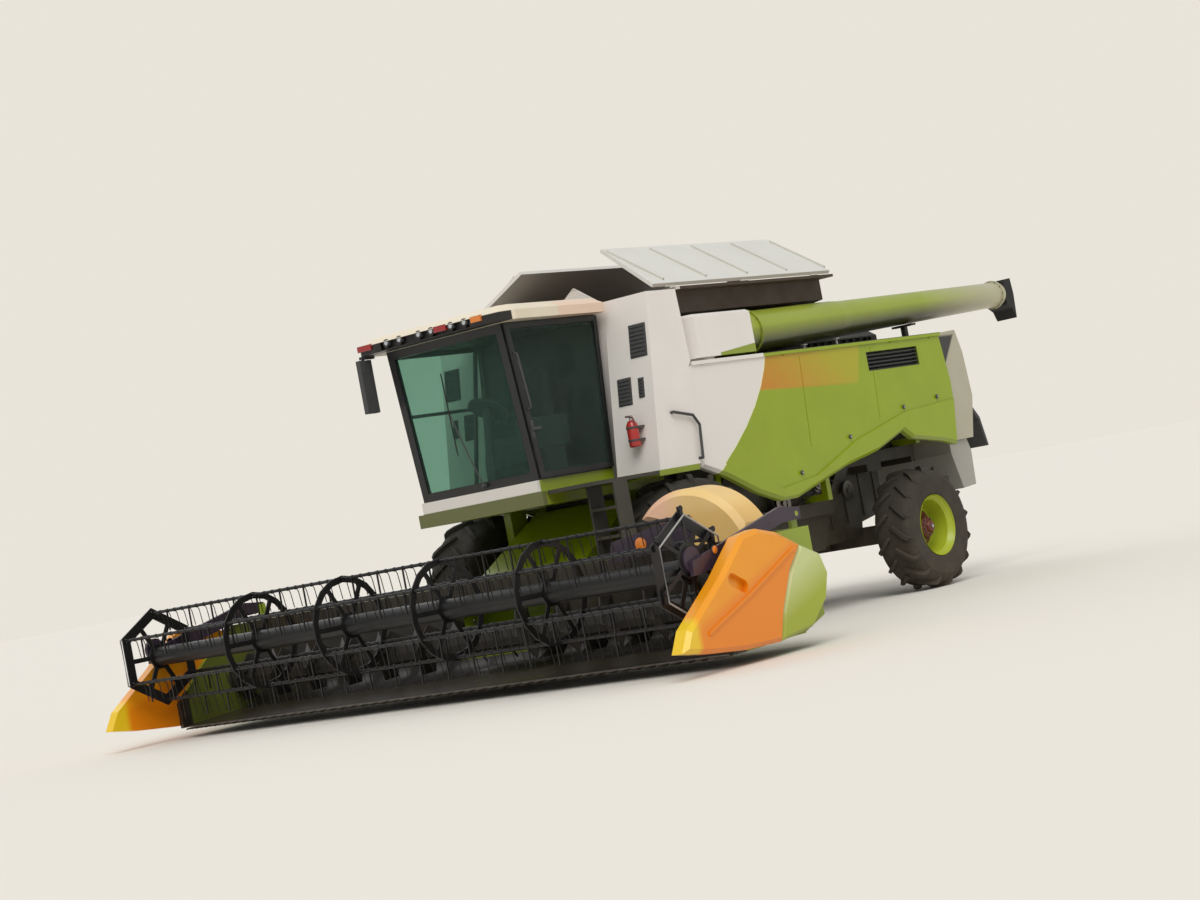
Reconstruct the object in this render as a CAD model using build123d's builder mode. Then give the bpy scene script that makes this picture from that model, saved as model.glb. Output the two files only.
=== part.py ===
"""Combine harvester with its cutting table, as separate pieces in millimetres.

+Z is up, the machine drives towards -Y and its left side is +X. The origin lies on the ground
under the middle of the whole machine. Outlines seen from the side are lists of
(distance behind the front axle, height), and `side` turns them into sketch points.
"""

from build123d import *
from math import cos, hypot, radians, sin
import os

# Overall reach, measured from the front axle
FRONT_REACH = 3660
TUBE_END_D = 7240
SPOUT_LENGTH = 200
REAR_REACH = TUBE_END_D + SPOUT_LENGTH
AXLE_Y = (FRONT_REACH - REAR_REACH) / 2

# Gap between pieces that seat on each other
FIT_GAP = 0.3

# Front wheels and axle
FRONT_TYRE_R = 900
FRONT_TYRE_WIDTH = 650
FRONT_RIM_R = 420
FRONT_WHEEL_X = 1360
FRONT_HUB_R = 190
FRONT_STUB_R = 90
AXLE_BEAM_TOP = 920
AXLE_BEAM_BOTTOM = 700
AXLE_BEAM_HALF_DEPTH = 130
DRIVE_HOUSING_R = 240
DRIVE_HOUSING_END = 1000

# Rear wheels, axle and steering
WHEELBASE = 4340
REAR_TYRE_R = 715
REAR_TYRE_WIDTH = 500
REAR_RIM_R = 345
REAR_WHEEL_X = 1400
REAR_HUB_R = 120
REAR_STUB_R = 50
KINGPIN_X = 1000
KINGPIN_R = 30
KNUCKLE_R = 65
KNUCKLE_HALF_HEIGHT = 105
KNUCKLE_PLAY = 5
EAR_THICKNESS = 40
EAR_HALF_DEPTH = 70
REAR_BEAM_HALF_DEPTH = 80
REAR_BEAM_HALF_HEIGHT = 110
REAR_BEAM_END = 900
AXLE_PIVOT_R = 45
CHEEK_THICKNESS = 55
CHEEK_HALF_WIDTH = 160
STEER_ARM = 280
STEER_ARM_WIDTH = 60
STEER_ARM_THICKNESS = 40
TIE_ROD_R = 22
TIE_PIN_R = 14

# Tyre lugs
LUG_HEIGHT = 45
LUG_SLANT = 42
LUG_SHARE = 0.98
LUGS = 16
FRONT_LUG_WIDTH = 62
REAR_LUG_WIDTH = 52
TYRE_SIDES = 22

# Frame
RAIL_INNER = 800
RAIL_WIDTH = 100
RAIL_BOTTOM = 1080
RAIL_TOP = 1240
REAR_RAIL_BOTTOM = 1560
REAR_RAIL_TOP = 1700
HITCH_D = WHEELBASE + 930
HITCH_BOTTOM = 1370
HITCH_TOP = 1490
HITCH_EAR = 35
HITCH_PIN_R = 16

# Body
BODY_HALF_WIDTH = 1500
PANEL_THICKNESS = 100
PANEL_BEVEL = 35
PANEL_TOP = 2920
DECK_THICKNESS = 40
DECK_REAR = WHEELBASE + 1030
DECK_FRONT = 450
FRONT_BODY_TOP = 3740
FRONT_BODY_BOTTOM = 1890
ENGINE_FLOOR = 2150

# Grain tank and its covers
TANK_FRONT = 550
TANK_REAR = WHEELBASE - 840
TANK_BOTTOM = 2000
TANK_LOW_HALF = 800
TANK_HIGH_HALF = 1200
TANK_WALL = 40
TANK_SHOULDER = 3470
TANK_TOP = 3780
RIM_OVERHANG = 200
RIM_THICKNESS = 30
COVER_ANGLE = 33
COVER_WIDTH = 980
COVER_THICKNESS = 40
COVER_FRONT = 150
COVER_REAR = TANK_REAR - 80
COVER_SKEW = 270
COVER_REAR_SKEW = 80
COVER_LIFT = 8
CENTRE_STRIP_HALF = 400
GUSSET_RISE = 260
COVER_RIBS = 5
COVER_RIB = 22

# Unloader
UNLOADER_X = 1170
UNLOADER_D = 880
TURRET_R = 260
SHROUD_BOTTOM = 2990
SHROUD_TOP = 3460
SHROUD_OUTER = 1490
SHROUD_REAR = 1640
TUBE_X = 1250
TUBE_ROOT_Z = 3215
TUBE_END_Z = 3372
TUBE_ROOT_R = 240
TUBE_MID_R = 205
TUBE_END_R = 155
TUBE_REST_D = DECK_REAR - 370

# Cab
CAB_HALF_WIDTH = 820
CAB_WALL = 50
CAB_FLOOR_Z = 2010
CAB_TOP_Z = 3630
CAB_REAR_LOW = -330
CAB_REAR_HIGH = -160
CAB_FRONT_LOW = -1500
CAB_FRONT_HIGH = -1650
PILLAR = 90
DOOR_THICKNESS = 35
DOOR_GAP = 5
DOOR_FRAME = 55
DOOR_INSET = 20
KNUCKLE_PIN_R = 2.5
GLASS = 10
ROOF_HALF_WIDTH = 1080
ROOF_FRONT = -1900
ROOF_THICKNESS = 165
CAB_BASE_BOTTOM = 1750
FENDER_BOTTOM = 1830
FENDER_INNER = 1000
WALKWAY_Z = 1890
WALKWAY_THICKNESS = 40

# Feeder house and its pivot
FEEDER_HALF_WIDTH = 730
FEEDER_PIVOT_D = 150
FEEDER_PIVOT_Z = 1500
FEEDER_END_R = 200
FEEDER_PIN_R = 40
FEEDER_FRONT_BOTTOM = 260
FEEDER_FRONT_TOP = 930
FEEDER_MOUTH_HALF = 690
FEEDER_MOUTH_LOW = 330
FEEDER_MOUTH_HIGH = 870
FEEDER_MOUTH_DEPTH = 300

# Cutting table
TABLE_HALF_WIDTH = 3850
TABLE_SHEET = 45
END_SHEET = 50
TABLE_TOP = 1100
TABLE_LIP_D = -2700
TABLE_LIP_Z = 110
AUGER_D = -1850
AUGER_Z = 520
AUGER_R = 300
AUGER_TUBE_R = 160
AUGER_PLAY = 40
AUGER_SHAFT_R = 40
DIVIDER_WIDTH = 170
BACK_BEAM_DEPTH = 140
TABLE_BACK_D = AUGER_D + AUGER_R + AUGER_PLAY + TABLE_SHEET

# Reel
REEL_D = -3000
REEL_Z = 930
REEL_BAR_CIRCLE = 470
REEL_RIM = 34
REEL_TUBE_R = 100
REEL_SHAFT_R = 35
REEL_END_X = TABLE_HALF_WIDTH - 170
REEL_PLATE = 14
REEL_HOOP_SHARES = (0.185, 0.552)
REEL_BARS = 6
BAR_R = 18
TINE_LENGTH = 210
TINE_PITCH = 360
TINE_WIDTH = 14
ECCENTRIC_OFFSET = 80
ECCENTRIC_DISC_R = 122
ECCENTRIC_RING_X = REEL_END_X + 34
ECCENTRIC_PLATE = 12
CRANK_PIN_R = 10
CRANK_X = REEL_END_X + 10
CRANK_PLATE = 16
ARM_X = REEL_END_X + 70
ARM_THICKNESS = 40
REEL_PIVOT_D = -1390
REEL_PIVOT_Z = 1230
REEL_PIVOT_R = 25

# Lift cylinders
LIFT_X = 600
LIFT_BASE_D = -190
LIFT_BASE_Z = 640
LIFT_EYE_D = -960
LIFT_EYE_Z = 330
LIFT_PIN_R = 25
LIFT_BARREL_R = 55
LIFT_BARREL_LENGTH = 480
LIFT_ROD_R = 30
LIFT_EYE_R = 70
LIFT_EYE_PLAY = 20

SIDES = ((1, "left"), (-1, "right"))

os.makedirs("parts", exist_ok=True)


def side(outline):
    """Turns (distance behind the front axle, height) pairs into points of a side view sketch."""
    return [(AXLE_Y + distance, height) for distance, height in outline]


def at(x, distance, height):
    """A point given by its distance behind the front axle."""
    return (x, AXLE_Y + distance, height)


def block(x_range, distance_range, height_range, mode=Mode.ADD):
    """A box between pairs of limits."""
    limits = (x_range, distance_range, height_range)
    middle = [(low + high) / 2 for low, high in limits]
    size = [high - low for low, high in limits]
    with Locations(at(*middle)):
        Box(*size, mode=mode)


def rod(start, end, radius, mode=Mode.ADD):
    """A round bar between two points."""
    line = Vector(*end) - Vector(*start)
    with Locations(Plane(origin=start, z_dir=line).location):
        Cylinder(radius, line.length, align=(Align.CENTER, Align.CENTER, Align.MIN), mode=mode)


def save(builder, name):
    """Labels a finished piece and writes its file."""
    builder.part.label = name
    export_step(builder.part, f"parts/{name}.step")


# Main frame: two stepped rails, cross members, feeder pivots and the rear axle's bracket
RAIL_OUTLINE = [
    (-250, AXLE_BEAM_TOP),
    (250, AXLE_BEAM_TOP),
    (250, RAIL_BOTTOM),
    (WHEELBASE - 990, RAIL_BOTTOM),
    (WHEELBASE - 540, REAR_RAIL_BOTTOM),
    (WHEELBASE + 910, REAR_RAIL_BOTTOM),
    (WHEELBASE + 910, REAR_RAIL_TOP),
    (WHEELBASE - 640, REAR_RAIL_TOP),
    (WHEELBASE - 1070, RAIL_TOP),
    (-250, RAIL_TOP),
]
PIVOT_PLATE = [
    (FEEDER_PIVOT_D - 110, RAIL_TOP),
    (FEEDER_PIVOT_D + 110, RAIL_TOP),
    (FEEDER_PIVOT_D + 70, FEEDER_PIVOT_Z + 80),
    (FEEDER_PIVOT_D - 70, FEEDER_PIVOT_Z + 80),
]
REAR_AXLE_Z = REAR_TYRE_R
CHEEK_D = REAR_BEAM_HALF_DEPTH + KNUCKLE_PLAY
with BuildPart() as main_frame:
    for sign, _ in SIDES:
        rail_side = RAIL_INNER if sign > 0 else -RAIL_INNER - RAIL_WIDTH
        with BuildSketch(Plane.YZ.offset(rail_side)):
            Polygon(*side(RAIL_OUTLINE), align=None)
            Polygon(*side(PIVOT_PLATE), align=None)
        extrude(amount=RAIL_WIDTH)
        rod(
            at(sign * (RAIL_INNER + 10), FEEDER_PIVOT_D, FEEDER_PIVOT_Z),
            at(sign * (FEEDER_HALF_WIDTH - 40), FEEDER_PIVOT_D, FEEDER_PIVOT_Z),
            FEEDER_PIN_R,
        )
    cross_half = RAIL_INNER + RAIL_WIDTH
    block((-cross_half, cross_half), (HITCH_D - 110, HITCH_D - 30), (HITCH_TOP, REAR_RAIL_BOTTOM))
    block((-60, 60), (HITCH_D - 110, HITCH_D + 50), (HITCH_BOTTOM, HITCH_TOP + 10))
    block(
        (-61, 61),
        (HITCH_D - 60, HITCH_D + 51),
        (HITCH_BOTTOM + HITCH_EAR, HITCH_TOP - HITCH_EAR),
        mode=Mode.SUBTRACT,
    )
    rod(at(0, HITCH_D, HITCH_BOTTOM - 1), at(0, HITCH_D, HITCH_TOP + 11), HITCH_PIN_R, mode=Mode.SUBTRACT)
    axle_range = (WHEELBASE - 150, WHEELBASE + 150)
    block((-cross_half, cross_half), axle_range, (REAR_RAIL_BOTTOM - 90, REAR_RAIL_BOTTOM))
    for d_low, d_high in ((-CHEEK_D - CHEEK_THICKNESS, -CHEEK_D), (CHEEK_D, CHEEK_D + CHEEK_THICKNESS)):
        block(
            (-CHEEK_HALF_WIDTH, CHEEK_HALF_WIDTH),
            (WHEELBASE + d_low, WHEELBASE + d_high),
            (REAR_AXLE_Z - 100, REAR_RAIL_BOTTOM - 80),
        )
    rod(
        at(0, WHEELBASE - CHEEK_D - CHEEK_THICKNESS, REAR_AXLE_Z),
        at(0, WHEELBASE + CHEEK_D + CHEEK_THICKNESS, REAR_AXLE_Z),
        AXLE_PIVOT_R,
    )
save(main_frame, "main_frame")

# Front axle: beam, final drive housings and wheel stubs
with BuildPart() as front_axle:
    block(
        (-RAIL_INNER - RAIL_WIDTH, RAIL_INNER + RAIL_WIDTH),
        (-AXLE_BEAM_HALF_DEPTH, AXLE_BEAM_HALF_DEPTH),
        (AXLE_BEAM_BOTTOM, AXLE_BEAM_TOP),
    )
    for sign, _ in SIDES:
        rod(
            at(sign * (RAIL_INNER + RAIL_WIDTH), 0, FRONT_TYRE_R),
            at(sign * DRIVE_HOUSING_END, 0, FRONT_TYRE_R),
            DRIVE_HOUSING_R,
        )
        housing_end = at(sign * DRIVE_HOUSING_END, 0, FRONT_TYRE_R)
        rod(housing_end, at(sign * FRONT_WHEEL_X, 0, FRONT_TYRE_R), FRONT_STUB_R)
        for ear in (-70, 40):
            block(
                (sign * LIFT_X + ear, sign * LIFT_X + ear + 30),
                (-AXLE_BEAM_HALF_DEPTH - 90, -AXLE_BEAM_HALF_DEPTH),
                (LIFT_BASE_Z - 60, AXLE_BEAM_TOP - 20),
            )
        rod(
            at(sign * LIFT_X - 70, LIFT_BASE_D, LIFT_BASE_Z),
            at(sign * LIFT_X + 70, LIFT_BASE_D, LIFT_BASE_Z),
            LIFT_PIN_R,
        )
save(front_axle, "front_axle")


# Wheels: a carcass lofted between many-sided rings, with two rows of slanted lugs
def carcass_rings(outer, width, rim):
    """Rings of a tyre's carcass from one side to the other, each (place along the axle, radius)."""
    half = width / 2
    right = [
        (0.70 * half, outer - LUG_HEIGHT),
        (0.94 * half, outer - 2.0 * LUG_HEIGHT),
        (1.00 * half, rim + 0.45 * (outer - rim)),
        (0.79 * half, rim + 10),
    ]
    left = [(-u, radius) for u, radius in reversed(right)]
    return left + right


def lug_places(centre, half_width, outer, lug_width):
    """Seats of the slanted lugs on both halves of a tyre, with a lug's length and height."""
    slant = radians(LUG_SLANT)
    length = (LUG_SHARE * half_width - lug_width * sin(slant)) / cos(slant)
    reach = length / 2 * sin(slant) + lug_width / 2 * cos(slant)
    top = (outer**2 - reach**2) ** 0.5
    seat_r = outer - 2.4 * LUG_HEIGHT
    places = []
    for half, stagger in ((1, 0), (-1, 0.5)):
        for number in range(LUGS):
            turn = radians(360 / LUGS * (number + stagger) - 90)
            outward = Vector(0, cos(turn), sin(turn))
            along = Vector(half * cos(slant), -sin(turn) * sin(slant), cos(turn) * sin(slant))
            seat = Vector(*centre) + outward * seat_r + Vector(half * LUG_SHARE * half_width / 2, 0, 0)
            places.append(Plane(origin=seat, x_dir=along, z_dir=outward).location)
    return places, length, top - seat_r


def rim_profile(rim, width, hub, bore, hub_inner, hub_outer):
    """Half section of a rim with its disc and hub, u along the axle from the wheel's middle."""
    half = width / 2
    return [
        (hub_inner, bore),
        (hub_outer, bore),
        (hub_outer, 0.55 * hub),
        (hub_outer - 30, hub),
        (-10, hub),
        (-40, rim - 60),
        (0.62 * half, rim - 40),
        (0.86 * half, rim + 12),
        (0.86 * half + 14, rim + 12),
        (0.80 * half, rim - FIT_GAP),
        (-0.80 * half, rim - FIT_GAP),
        (-0.86 * half - 14, rim + 12),
        (-0.86 * half, rim + 12),
        (-0.62 * half, rim - 40),
        (-75, rim - 60),
        (-60, hub),
        (hub_inner, hub),
    ]


WHEELS = [
    # name, distance, middle x, tyre radius and width, rim radius, hub radius, stub radius, lug width
    ("front", 0, FRONT_WHEEL_X, FRONT_TYRE_R, FRONT_TYRE_WIDTH, FRONT_RIM_R, FRONT_HUB_R, FRONT_STUB_R,
     FRONT_LUG_WIDTH),
    ("rear", WHEELBASE, REAR_WHEEL_X, REAR_TYRE_R, REAR_TYRE_WIDTH, REAR_RIM_R, REAR_HUB_R, REAR_STUB_R,
     REAR_LUG_WIDTH),
]
for name, distance, middle, outer, width, rim, hub, stub, lug_width in WHEELS:
    centre = at(middle, distance, outer)
    across = Plane(origin=centre, x_dir=(0, 1, 0), z_dir=(1, 0, 0))
    with BuildPart() as tyre_left:
        for ring_x, ring_r in carcass_rings(outer, width, rim):
            with BuildSketch(across.offset(ring_x)):
                RegularPolygon(ring_r, TYRE_SIDES)
        loft(ruled=True)
        with Locations(centre):
            Cylinder(rim, width, rotation=(0, 90, 0), mode=Mode.SUBTRACT)
        places, lug_length, lug_height = lug_places(centre, width / 2, outer, lug_width)
        with Locations(*places):
            Box(lug_length, lug_width, lug_height, align=(Align.CENTER, Align.CENTER, Align.MIN))
    save(tyre_left, f"{name}_tyre_left")
    with BuildPart() as tyre_right:
        mirror(tyre_left.part, about=Plane.YZ)
    save(tyre_right, f"{name}_tyre_right")
    for sign, side_name in SIDES:
        centre = at(sign * middle, distance, outer)
        section = Plane(origin=centre, x_dir=(sign, 0, 0), z_dir=(0, -sign, 0))
        spin = Axis(centre, (1, 0, 0))
        with BuildPart() as rim_part:
            with BuildSketch(section):
                Polygon(*rim_profile(rim, width, hub, stub + FIT_GAP, -150, 110), align=None)
            revolve(axis=spin)
        save(rim_part, f"{name}_rim_{side_name}")

# Rear axle: beam on its centre pivot, with ears and kingpins
with BuildPart() as rear_axle:
    block(
        (-REAR_BEAM_END, REAR_BEAM_END),
        (WHEELBASE - REAR_BEAM_HALF_DEPTH, WHEELBASE + REAR_BEAM_HALF_DEPTH),
        (REAR_AXLE_Z - REAR_BEAM_HALF_HEIGHT, REAR_AXLE_Z + REAR_BEAM_HALF_HEIGHT),
    )
    rod(
        at(0, WHEELBASE - REAR_BEAM_HALF_DEPTH - 1, REAR_AXLE_Z),
        at(0, WHEELBASE + REAR_BEAM_HALF_DEPTH + 1, REAR_AXLE_Z),
        AXLE_PIVOT_R + FIT_GAP,
        mode=Mode.SUBTRACT,
    )
    for sign, _ in SIDES:
        for up in (1, -1):
            ear_low = REAR_AXLE_Z + up * (KNUCKLE_HALF_HEIGHT + KNUCKLE_PLAY)
            ear_high = ear_low + up * EAR_THICKNESS
            inner, reach = sign * (REAR_BEAM_END - 60), sign * (KINGPIN_X + 50)
            block(
                (min(inner, reach), max(inner, reach)),
                (WHEELBASE - EAR_HALF_DEPTH, WHEELBASE + EAR_HALF_DEPTH),
                (min(ear_low, ear_high), max(ear_low, ear_high)),
            )
        ear_reach = KNUCKLE_HALF_HEIGHT + KNUCKLE_PLAY + EAR_THICKNESS
        rod(
            at(sign * KINGPIN_X, WHEELBASE, REAR_AXLE_Z - ear_reach),
            at(sign * KINGPIN_X, WHEELBASE, REAR_AXLE_Z + ear_reach),
            KINGPIN_R,
        )
save(rear_axle, "rear_axle")

# Rear knuckles: sleeve on the kingpin, wheel spindle and steering arm
for sign, side_name in SIDES:
    with BuildPart() as knuckle:
        rod(
            at(sign * KINGPIN_X, WHEELBASE, REAR_AXLE_Z - KNUCKLE_HALF_HEIGHT),
            at(sign * KINGPIN_X, WHEELBASE, REAR_AXLE_Z + KNUCKLE_HALF_HEIGHT),
            KNUCKLE_R,
        )
        rod(
            at(sign * KINGPIN_X, WHEELBASE, REAR_AXLE_Z),
            at(sign * (REAR_WHEEL_X + 60), WHEELBASE, REAR_AXLE_Z),
            REAR_STUB_R,
        )
        block(
            (sign * KINGPIN_X - STEER_ARM_WIDTH / 2, sign * KINGPIN_X + STEER_ARM_WIDTH / 2),
            (WHEELBASE, WHEELBASE + STEER_ARM + STEER_ARM_WIDTH / 2),
            (REAR_AXLE_Z, REAR_AXLE_Z + STEER_ARM_THICKNESS),
        )
        rod(
            at(sign * KINGPIN_X, WHEELBASE, REAR_AXLE_Z - KNUCKLE_HALF_HEIGHT - 1),
            at(sign * KINGPIN_X, WHEELBASE, REAR_AXLE_Z + KNUCKLE_HALF_HEIGHT + 1),
            KINGPIN_R + FIT_GAP,
            mode=Mode.SUBTRACT,
        )
        rod(
            at(sign * KINGPIN_X, WHEELBASE + STEER_ARM, REAR_AXLE_Z - 1),
            at(sign * KINGPIN_X, WHEELBASE + STEER_ARM, REAR_AXLE_Z + STEER_ARM_THICKNESS + 1),
            TIE_PIN_R + FIT_GAP,
            mode=Mode.SUBTRACT,
        )
    save(knuckle, f"rear_knuckle_{side_name}")

# Tie rod between the steering arms, above them
TIE_ROD_Z = REAR_AXLE_Z + STEER_ARM_THICKNESS + TIE_ROD_R + 8
with BuildPart() as tie_rod:
    rod(
        at(-KINGPIN_X - TIE_ROD_R, WHEELBASE + STEER_ARM, TIE_ROD_Z),
        at(KINGPIN_X + TIE_ROD_R, WHEELBASE + STEER_ARM, TIE_ROD_Z),
        TIE_ROD_R,
    )
    for sign, _ in SIDES:
        rod(
            at(sign * KINGPIN_X, WHEELBASE + STEER_ARM, REAR_AXLE_Z),
            at(sign * KINGPIN_X, WHEELBASE + STEER_ARM, TIE_ROD_Z),
            TIE_PIN_R,
        )
save(tie_rod, "tie_rod")

# Separator body between the rails, low between the axles and high over the rear axle
SEPARATOR_OUTLINE = [
    (360, TANK_BOTTOM),
    (360, 1250),
    (520, 900),
    (760, 690),
    (WHEELBASE - 1140, 680),
    (WHEELBASE - 890, 1120),
    (WHEELBASE - 490, REAR_RAIL_BOTTOM),
    (WHEELBASE + 910, REAR_RAIL_BOTTOM),
    (DECK_REAR - 20, REAR_RAIL_TOP),
    (DECK_REAR - 20, ENGINE_FLOOR),
    (TANK_REAR + 20, ENGINE_FLOOR),
    (TANK_REAR + 20, TANK_BOTTOM),
]
PULLEY_WIDTH = 50
PULLEY_SHAFT_R = 40
BELT_DRIVES = [
    # distance out from the body, then the pulleys as (distance, height, radius)
    (110, ((620, 1750, 250), (1500, 1560, 170))),
    (180, ((620, 1750, 130), (2900, 1900, 240))),
]
with BuildPart() as separator_body:
    with BuildSketch(Plane.YZ.offset(-RAIL_INNER)):
        Polygon(*side(SEPARATOR_OUTLINE), align=None)
    extrude(amount=2 * RAIL_INNER)
    for belt_x, wheels in BELT_DRIVES:
        for place, height, radius in wheels:
            outer_face = at(RAIL_INNER + belt_x, place, height)
            rod(at(RAIL_INNER - 1, place, height), outer_face, PULLEY_SHAFT_R)
            rod(at(RAIL_INNER + belt_x - PULLEY_WIDTH, place, height), outer_face, radius)
save(separator_body, "separator_body")

# Front body: wraps the cab's back and reaches over the front of the deck
FRONT_BODY_REAR = 400
FRONT_WALL_FOOT = -400
FRONT_WALL_HEAD = -100
FRONT_BODY_OUTLINE = [
    (FRONT_WALL_FOOT, FRONT_BODY_BOTTOM),
    (FRONT_WALL_HEAD, FRONT_BODY_TOP),
    (FRONT_BODY_REAR, FRONT_BODY_TOP),
    (FRONT_BODY_REAR + 35, PANEL_TOP + 50),
    (FRONT_BODY_REAR - 15, PANEL_TOP - 5),
    (FRONT_BODY_REAR - 25, 2450),
    (FRONT_BODY_REAR - 105, FRONT_BODY_BOTTOM),
]
CAB_BAY_HALF = CAB_HALF_WIDTH + DOOR_THICKNESS + DOOR_GAP + 60
TANK_BRIDGES = [
    # half width, bottom height
    (TANK_LOW_HALF - 20, PANEL_TOP + FIT_GAP + DECK_THICKNESS + FIT_GAP),
    (TANK_HIGH_HALF, SHROUD_TOP + 20),
]
FRONT_POCKETS = [
    # low x, high x, low z, high z
    (1230, 1460, 3080, 3430),
    (1020, 1210, 2610, 2900),
    (1300, 1380, 2660, 2870),
]
POCKET_DEPTH = 60
with BuildPart() as front_body:
    with BuildSketch(Plane.YZ.offset(-BODY_HALF_WIDTH)):
        Polygon(*side(FRONT_BODY_OUTLINE), align=None)
    extrude(amount=2 * BODY_HALF_WIDTH)
    for half_width, bridge_bottom in TANK_BRIDGES:
        block((-half_width, half_width), (FRONT_BODY_REAR - 50, TANK_FRONT), (bridge_bottom, FRONT_BODY_TOP))
    block((-CAB_BAY_HALF, CAB_BAY_HALF), (-500, CAB_REAR_HIGH + 10), (1500, 4000), mode=Mode.SUBTRACT)
    wall_lean = (FRONT_WALL_HEAD - FRONT_WALL_FOOT) / (FRONT_BODY_TOP - FRONT_BODY_BOTTOM)
    for low_x, high_x, low_z, high_z in FRONT_POCKETS:
        wall_d = FRONT_WALL_FOOT + wall_lean * (low_z - FRONT_BODY_BOTTOM)
        for near_x, far_x in ((low_x, high_x), (-high_x, -low_x)):
            block((near_x, far_x), (wall_d - 100, wall_d + POCKET_DEPTH), (low_z, high_z), mode=Mode.SUBTRACT)
save(front_body, "front_body")

# Side panels, hinged along their top edge
PANEL_REAR_POINTS = [
    (1030, 2920),
    (1110, 2370),
    (1100, 2150),
    (990, 1600),
    (700, 1670),
    (60, 1760),
    (-110, 1870),
    (-710, 1690),
    (-1360, 1590),
]
PANEL_OUTLINE = [
    (FRONT_BODY_REAR, PANEL_TOP),
    *[(WHEELBASE + d, z) for d, z in PANEL_REAR_POINTS],
    (1920, 1340),
    (1630, 1340),
    (1210, 1480),
    (740, 1700),
    (310, 1850),
    (FRONT_BODY_REAR - 10, 2450),
]
PANEL_BAND = [
    # the lower border stands proud of the panel, from its rear edge to the wheel arch
    (WHEELBASE + 1100, 2150),
    (WHEELBASE - 40, 2080),
    (WHEELBASE - 1120, 1850),
    (2340, 1540),
    (1650, 1470),
    (1210, 1620),
    (740, 1830),
    (FRONT_BODY_REAR - 60, 2010),
]
BAND_RELIEF = 22
HINGE_R = 8
HINGE_IN = 6
LOUVRE_D = (WHEELBASE - 590, WHEELBASE + 490)
LOUVRE_Z = (2610, 2830)
LOUVRE_DEPTH = 40
LOUVRE_SLATS = 5
SEAM_LINES = [
    # top (distance, height), bottom (distance, height)
    ((2420, 2880), (2330, 1620)),
    ((WHEELBASE - 490, 2880), (WHEELBASE - 560, 1800)),
]
SEAM_WIDTH = 10
SEAM_DEPTH = 8
with BuildPart() as panel_left:
    with BuildSketch(Plane.YZ.offset(BODY_HALF_WIDTH - PANEL_THICKNESS)):
        Polygon(*side(PANEL_OUTLINE), align=None)
    extrude(amount=PANEL_THICKNESS)
    outer_face = panel_left.faces().sort_by(Axis.X)[-1]
    lower_edges = [edge for edge in outer_face.edges() if edge.center().Z < PANEL_TOP - 1]
    chamfer(lower_edges, PANEL_BEVEL)
    with BuildSketch(Plane.YZ.offset(BODY_HALF_WIDTH)):
        Polygon(*side(PANEL_OUTLINE[:1] + PANEL_BAND), align=None)
        Polygon(*side(PANEL_OUTLINE[:3] + PANEL_BAND[:1]), align=None)
    extrude(amount=-BAND_RELIEF, mode=Mode.SUBTRACT)
    block(
        (BODY_HALF_WIDTH - LOUVRE_DEPTH - BAND_RELIEF, BODY_HALF_WIDTH + 1),
        LOUVRE_D,
        LOUVRE_Z,
        mode=Mode.SUBTRACT,
    )
    slat_x = BODY_HALF_WIDTH - BAND_RELIEF - LOUVRE_DEPTH / 2
    slat_pitch = (LOUVRE_Z[1] - LOUVRE_Z[0]) / LOUVRE_SLATS
    slat_places = [
        at(slat_x, sum(LOUVRE_D) / 2, LOUVRE_Z[0] + slat_pitch * (slat + 0.5))
        for slat in range(LOUVRE_SLATS)
    ]
    with Locations(*slat_places):
        Box(LOUVRE_DEPTH + 8, LOUVRE_D[1] - LOUVRE_D[0] + 2, 8, rotation=(0, 35, 0))
    for (top_d, top_z), (bottom_d, bottom_z) in SEAM_LINES:
        with BuildSketch(Plane.YZ.offset(BODY_HALF_WIDTH - BAND_RELIEF)):
            Polygon(
                *side(
                    [
                        (top_d, top_z),
                        (top_d + SEAM_WIDTH, top_z),
                        (bottom_d + SEAM_WIDTH, bottom_z + 250),
                        (bottom_d, bottom_z + 250),
                    ]
                ),
                align=None,
            )
        extrude(amount=-SEAM_DEPTH, mode=Mode.SUBTRACT)
    for hinge_d in (700, WHEELBASE / 2, WHEELBASE, WHEELBASE + 850):
        hinge_x = BODY_HALF_WIDTH - BAND_RELIEF + HINGE_IN
        hinge_z = PANEL_TOP - HINGE_R
        rod(at(hinge_x, hinge_d - 60, hinge_z), at(hinge_x, hinge_d + 60, hinge_z), HINGE_R)
save(panel_left, "side_panel_left")
with BuildPart() as panel_right:
    mirror(panel_left.part, about=Plane.YZ)
save(panel_right, "side_panel_right")

# Deck on top of the body round the tank, which the side panels hang from
DECK_BOTTOM = PANEL_TOP + FIT_GAP
DECK_TOP = DECK_BOTTOM + DECK_THICKNESS
DECK_POSTS = [
    # distance, height of the rail under the post
    (1000, RAIL_TOP),
    (WHEELBASE - 1340, RAIL_TOP),
    (WHEELBASE + 660, REAR_RAIL_TOP),
]
POST_X = 1100
POST_HALF = 40
with BuildPart() as deck:
    block((-BODY_HALF_WIDTH, BODY_HALF_WIDTH), (DECK_FRONT, DECK_REAR), (DECK_BOTTOM, DECK_TOP))
    block(
        (-TANK_LOW_HALF, TANK_LOW_HALF),
        (DECK_FRONT - 10, TANK_REAR),
        (DECK_BOTTOM - 10, DECK_TOP + 10),
        mode=Mode.SUBTRACT,
    )
    for sign, _ in SIDES:
        inner, reach = sorted((sign * RAIL_INNER, sign * (POST_X + POST_HALF)))
        post = sorted((sign * (POST_X - POST_HALF), sign * (POST_X + POST_HALF)))
        for post_d, rail_top in DECK_POSTS:
            post_range = (post_d - POST_HALF, post_d + POST_HALF)
            block(post, post_range, (rail_top, DECK_BOTTOM + 5))
            block((inner, reach), post_range, (rail_top, rail_top + 2 * POST_HALF))
save(deck, "side_deck")

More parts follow.
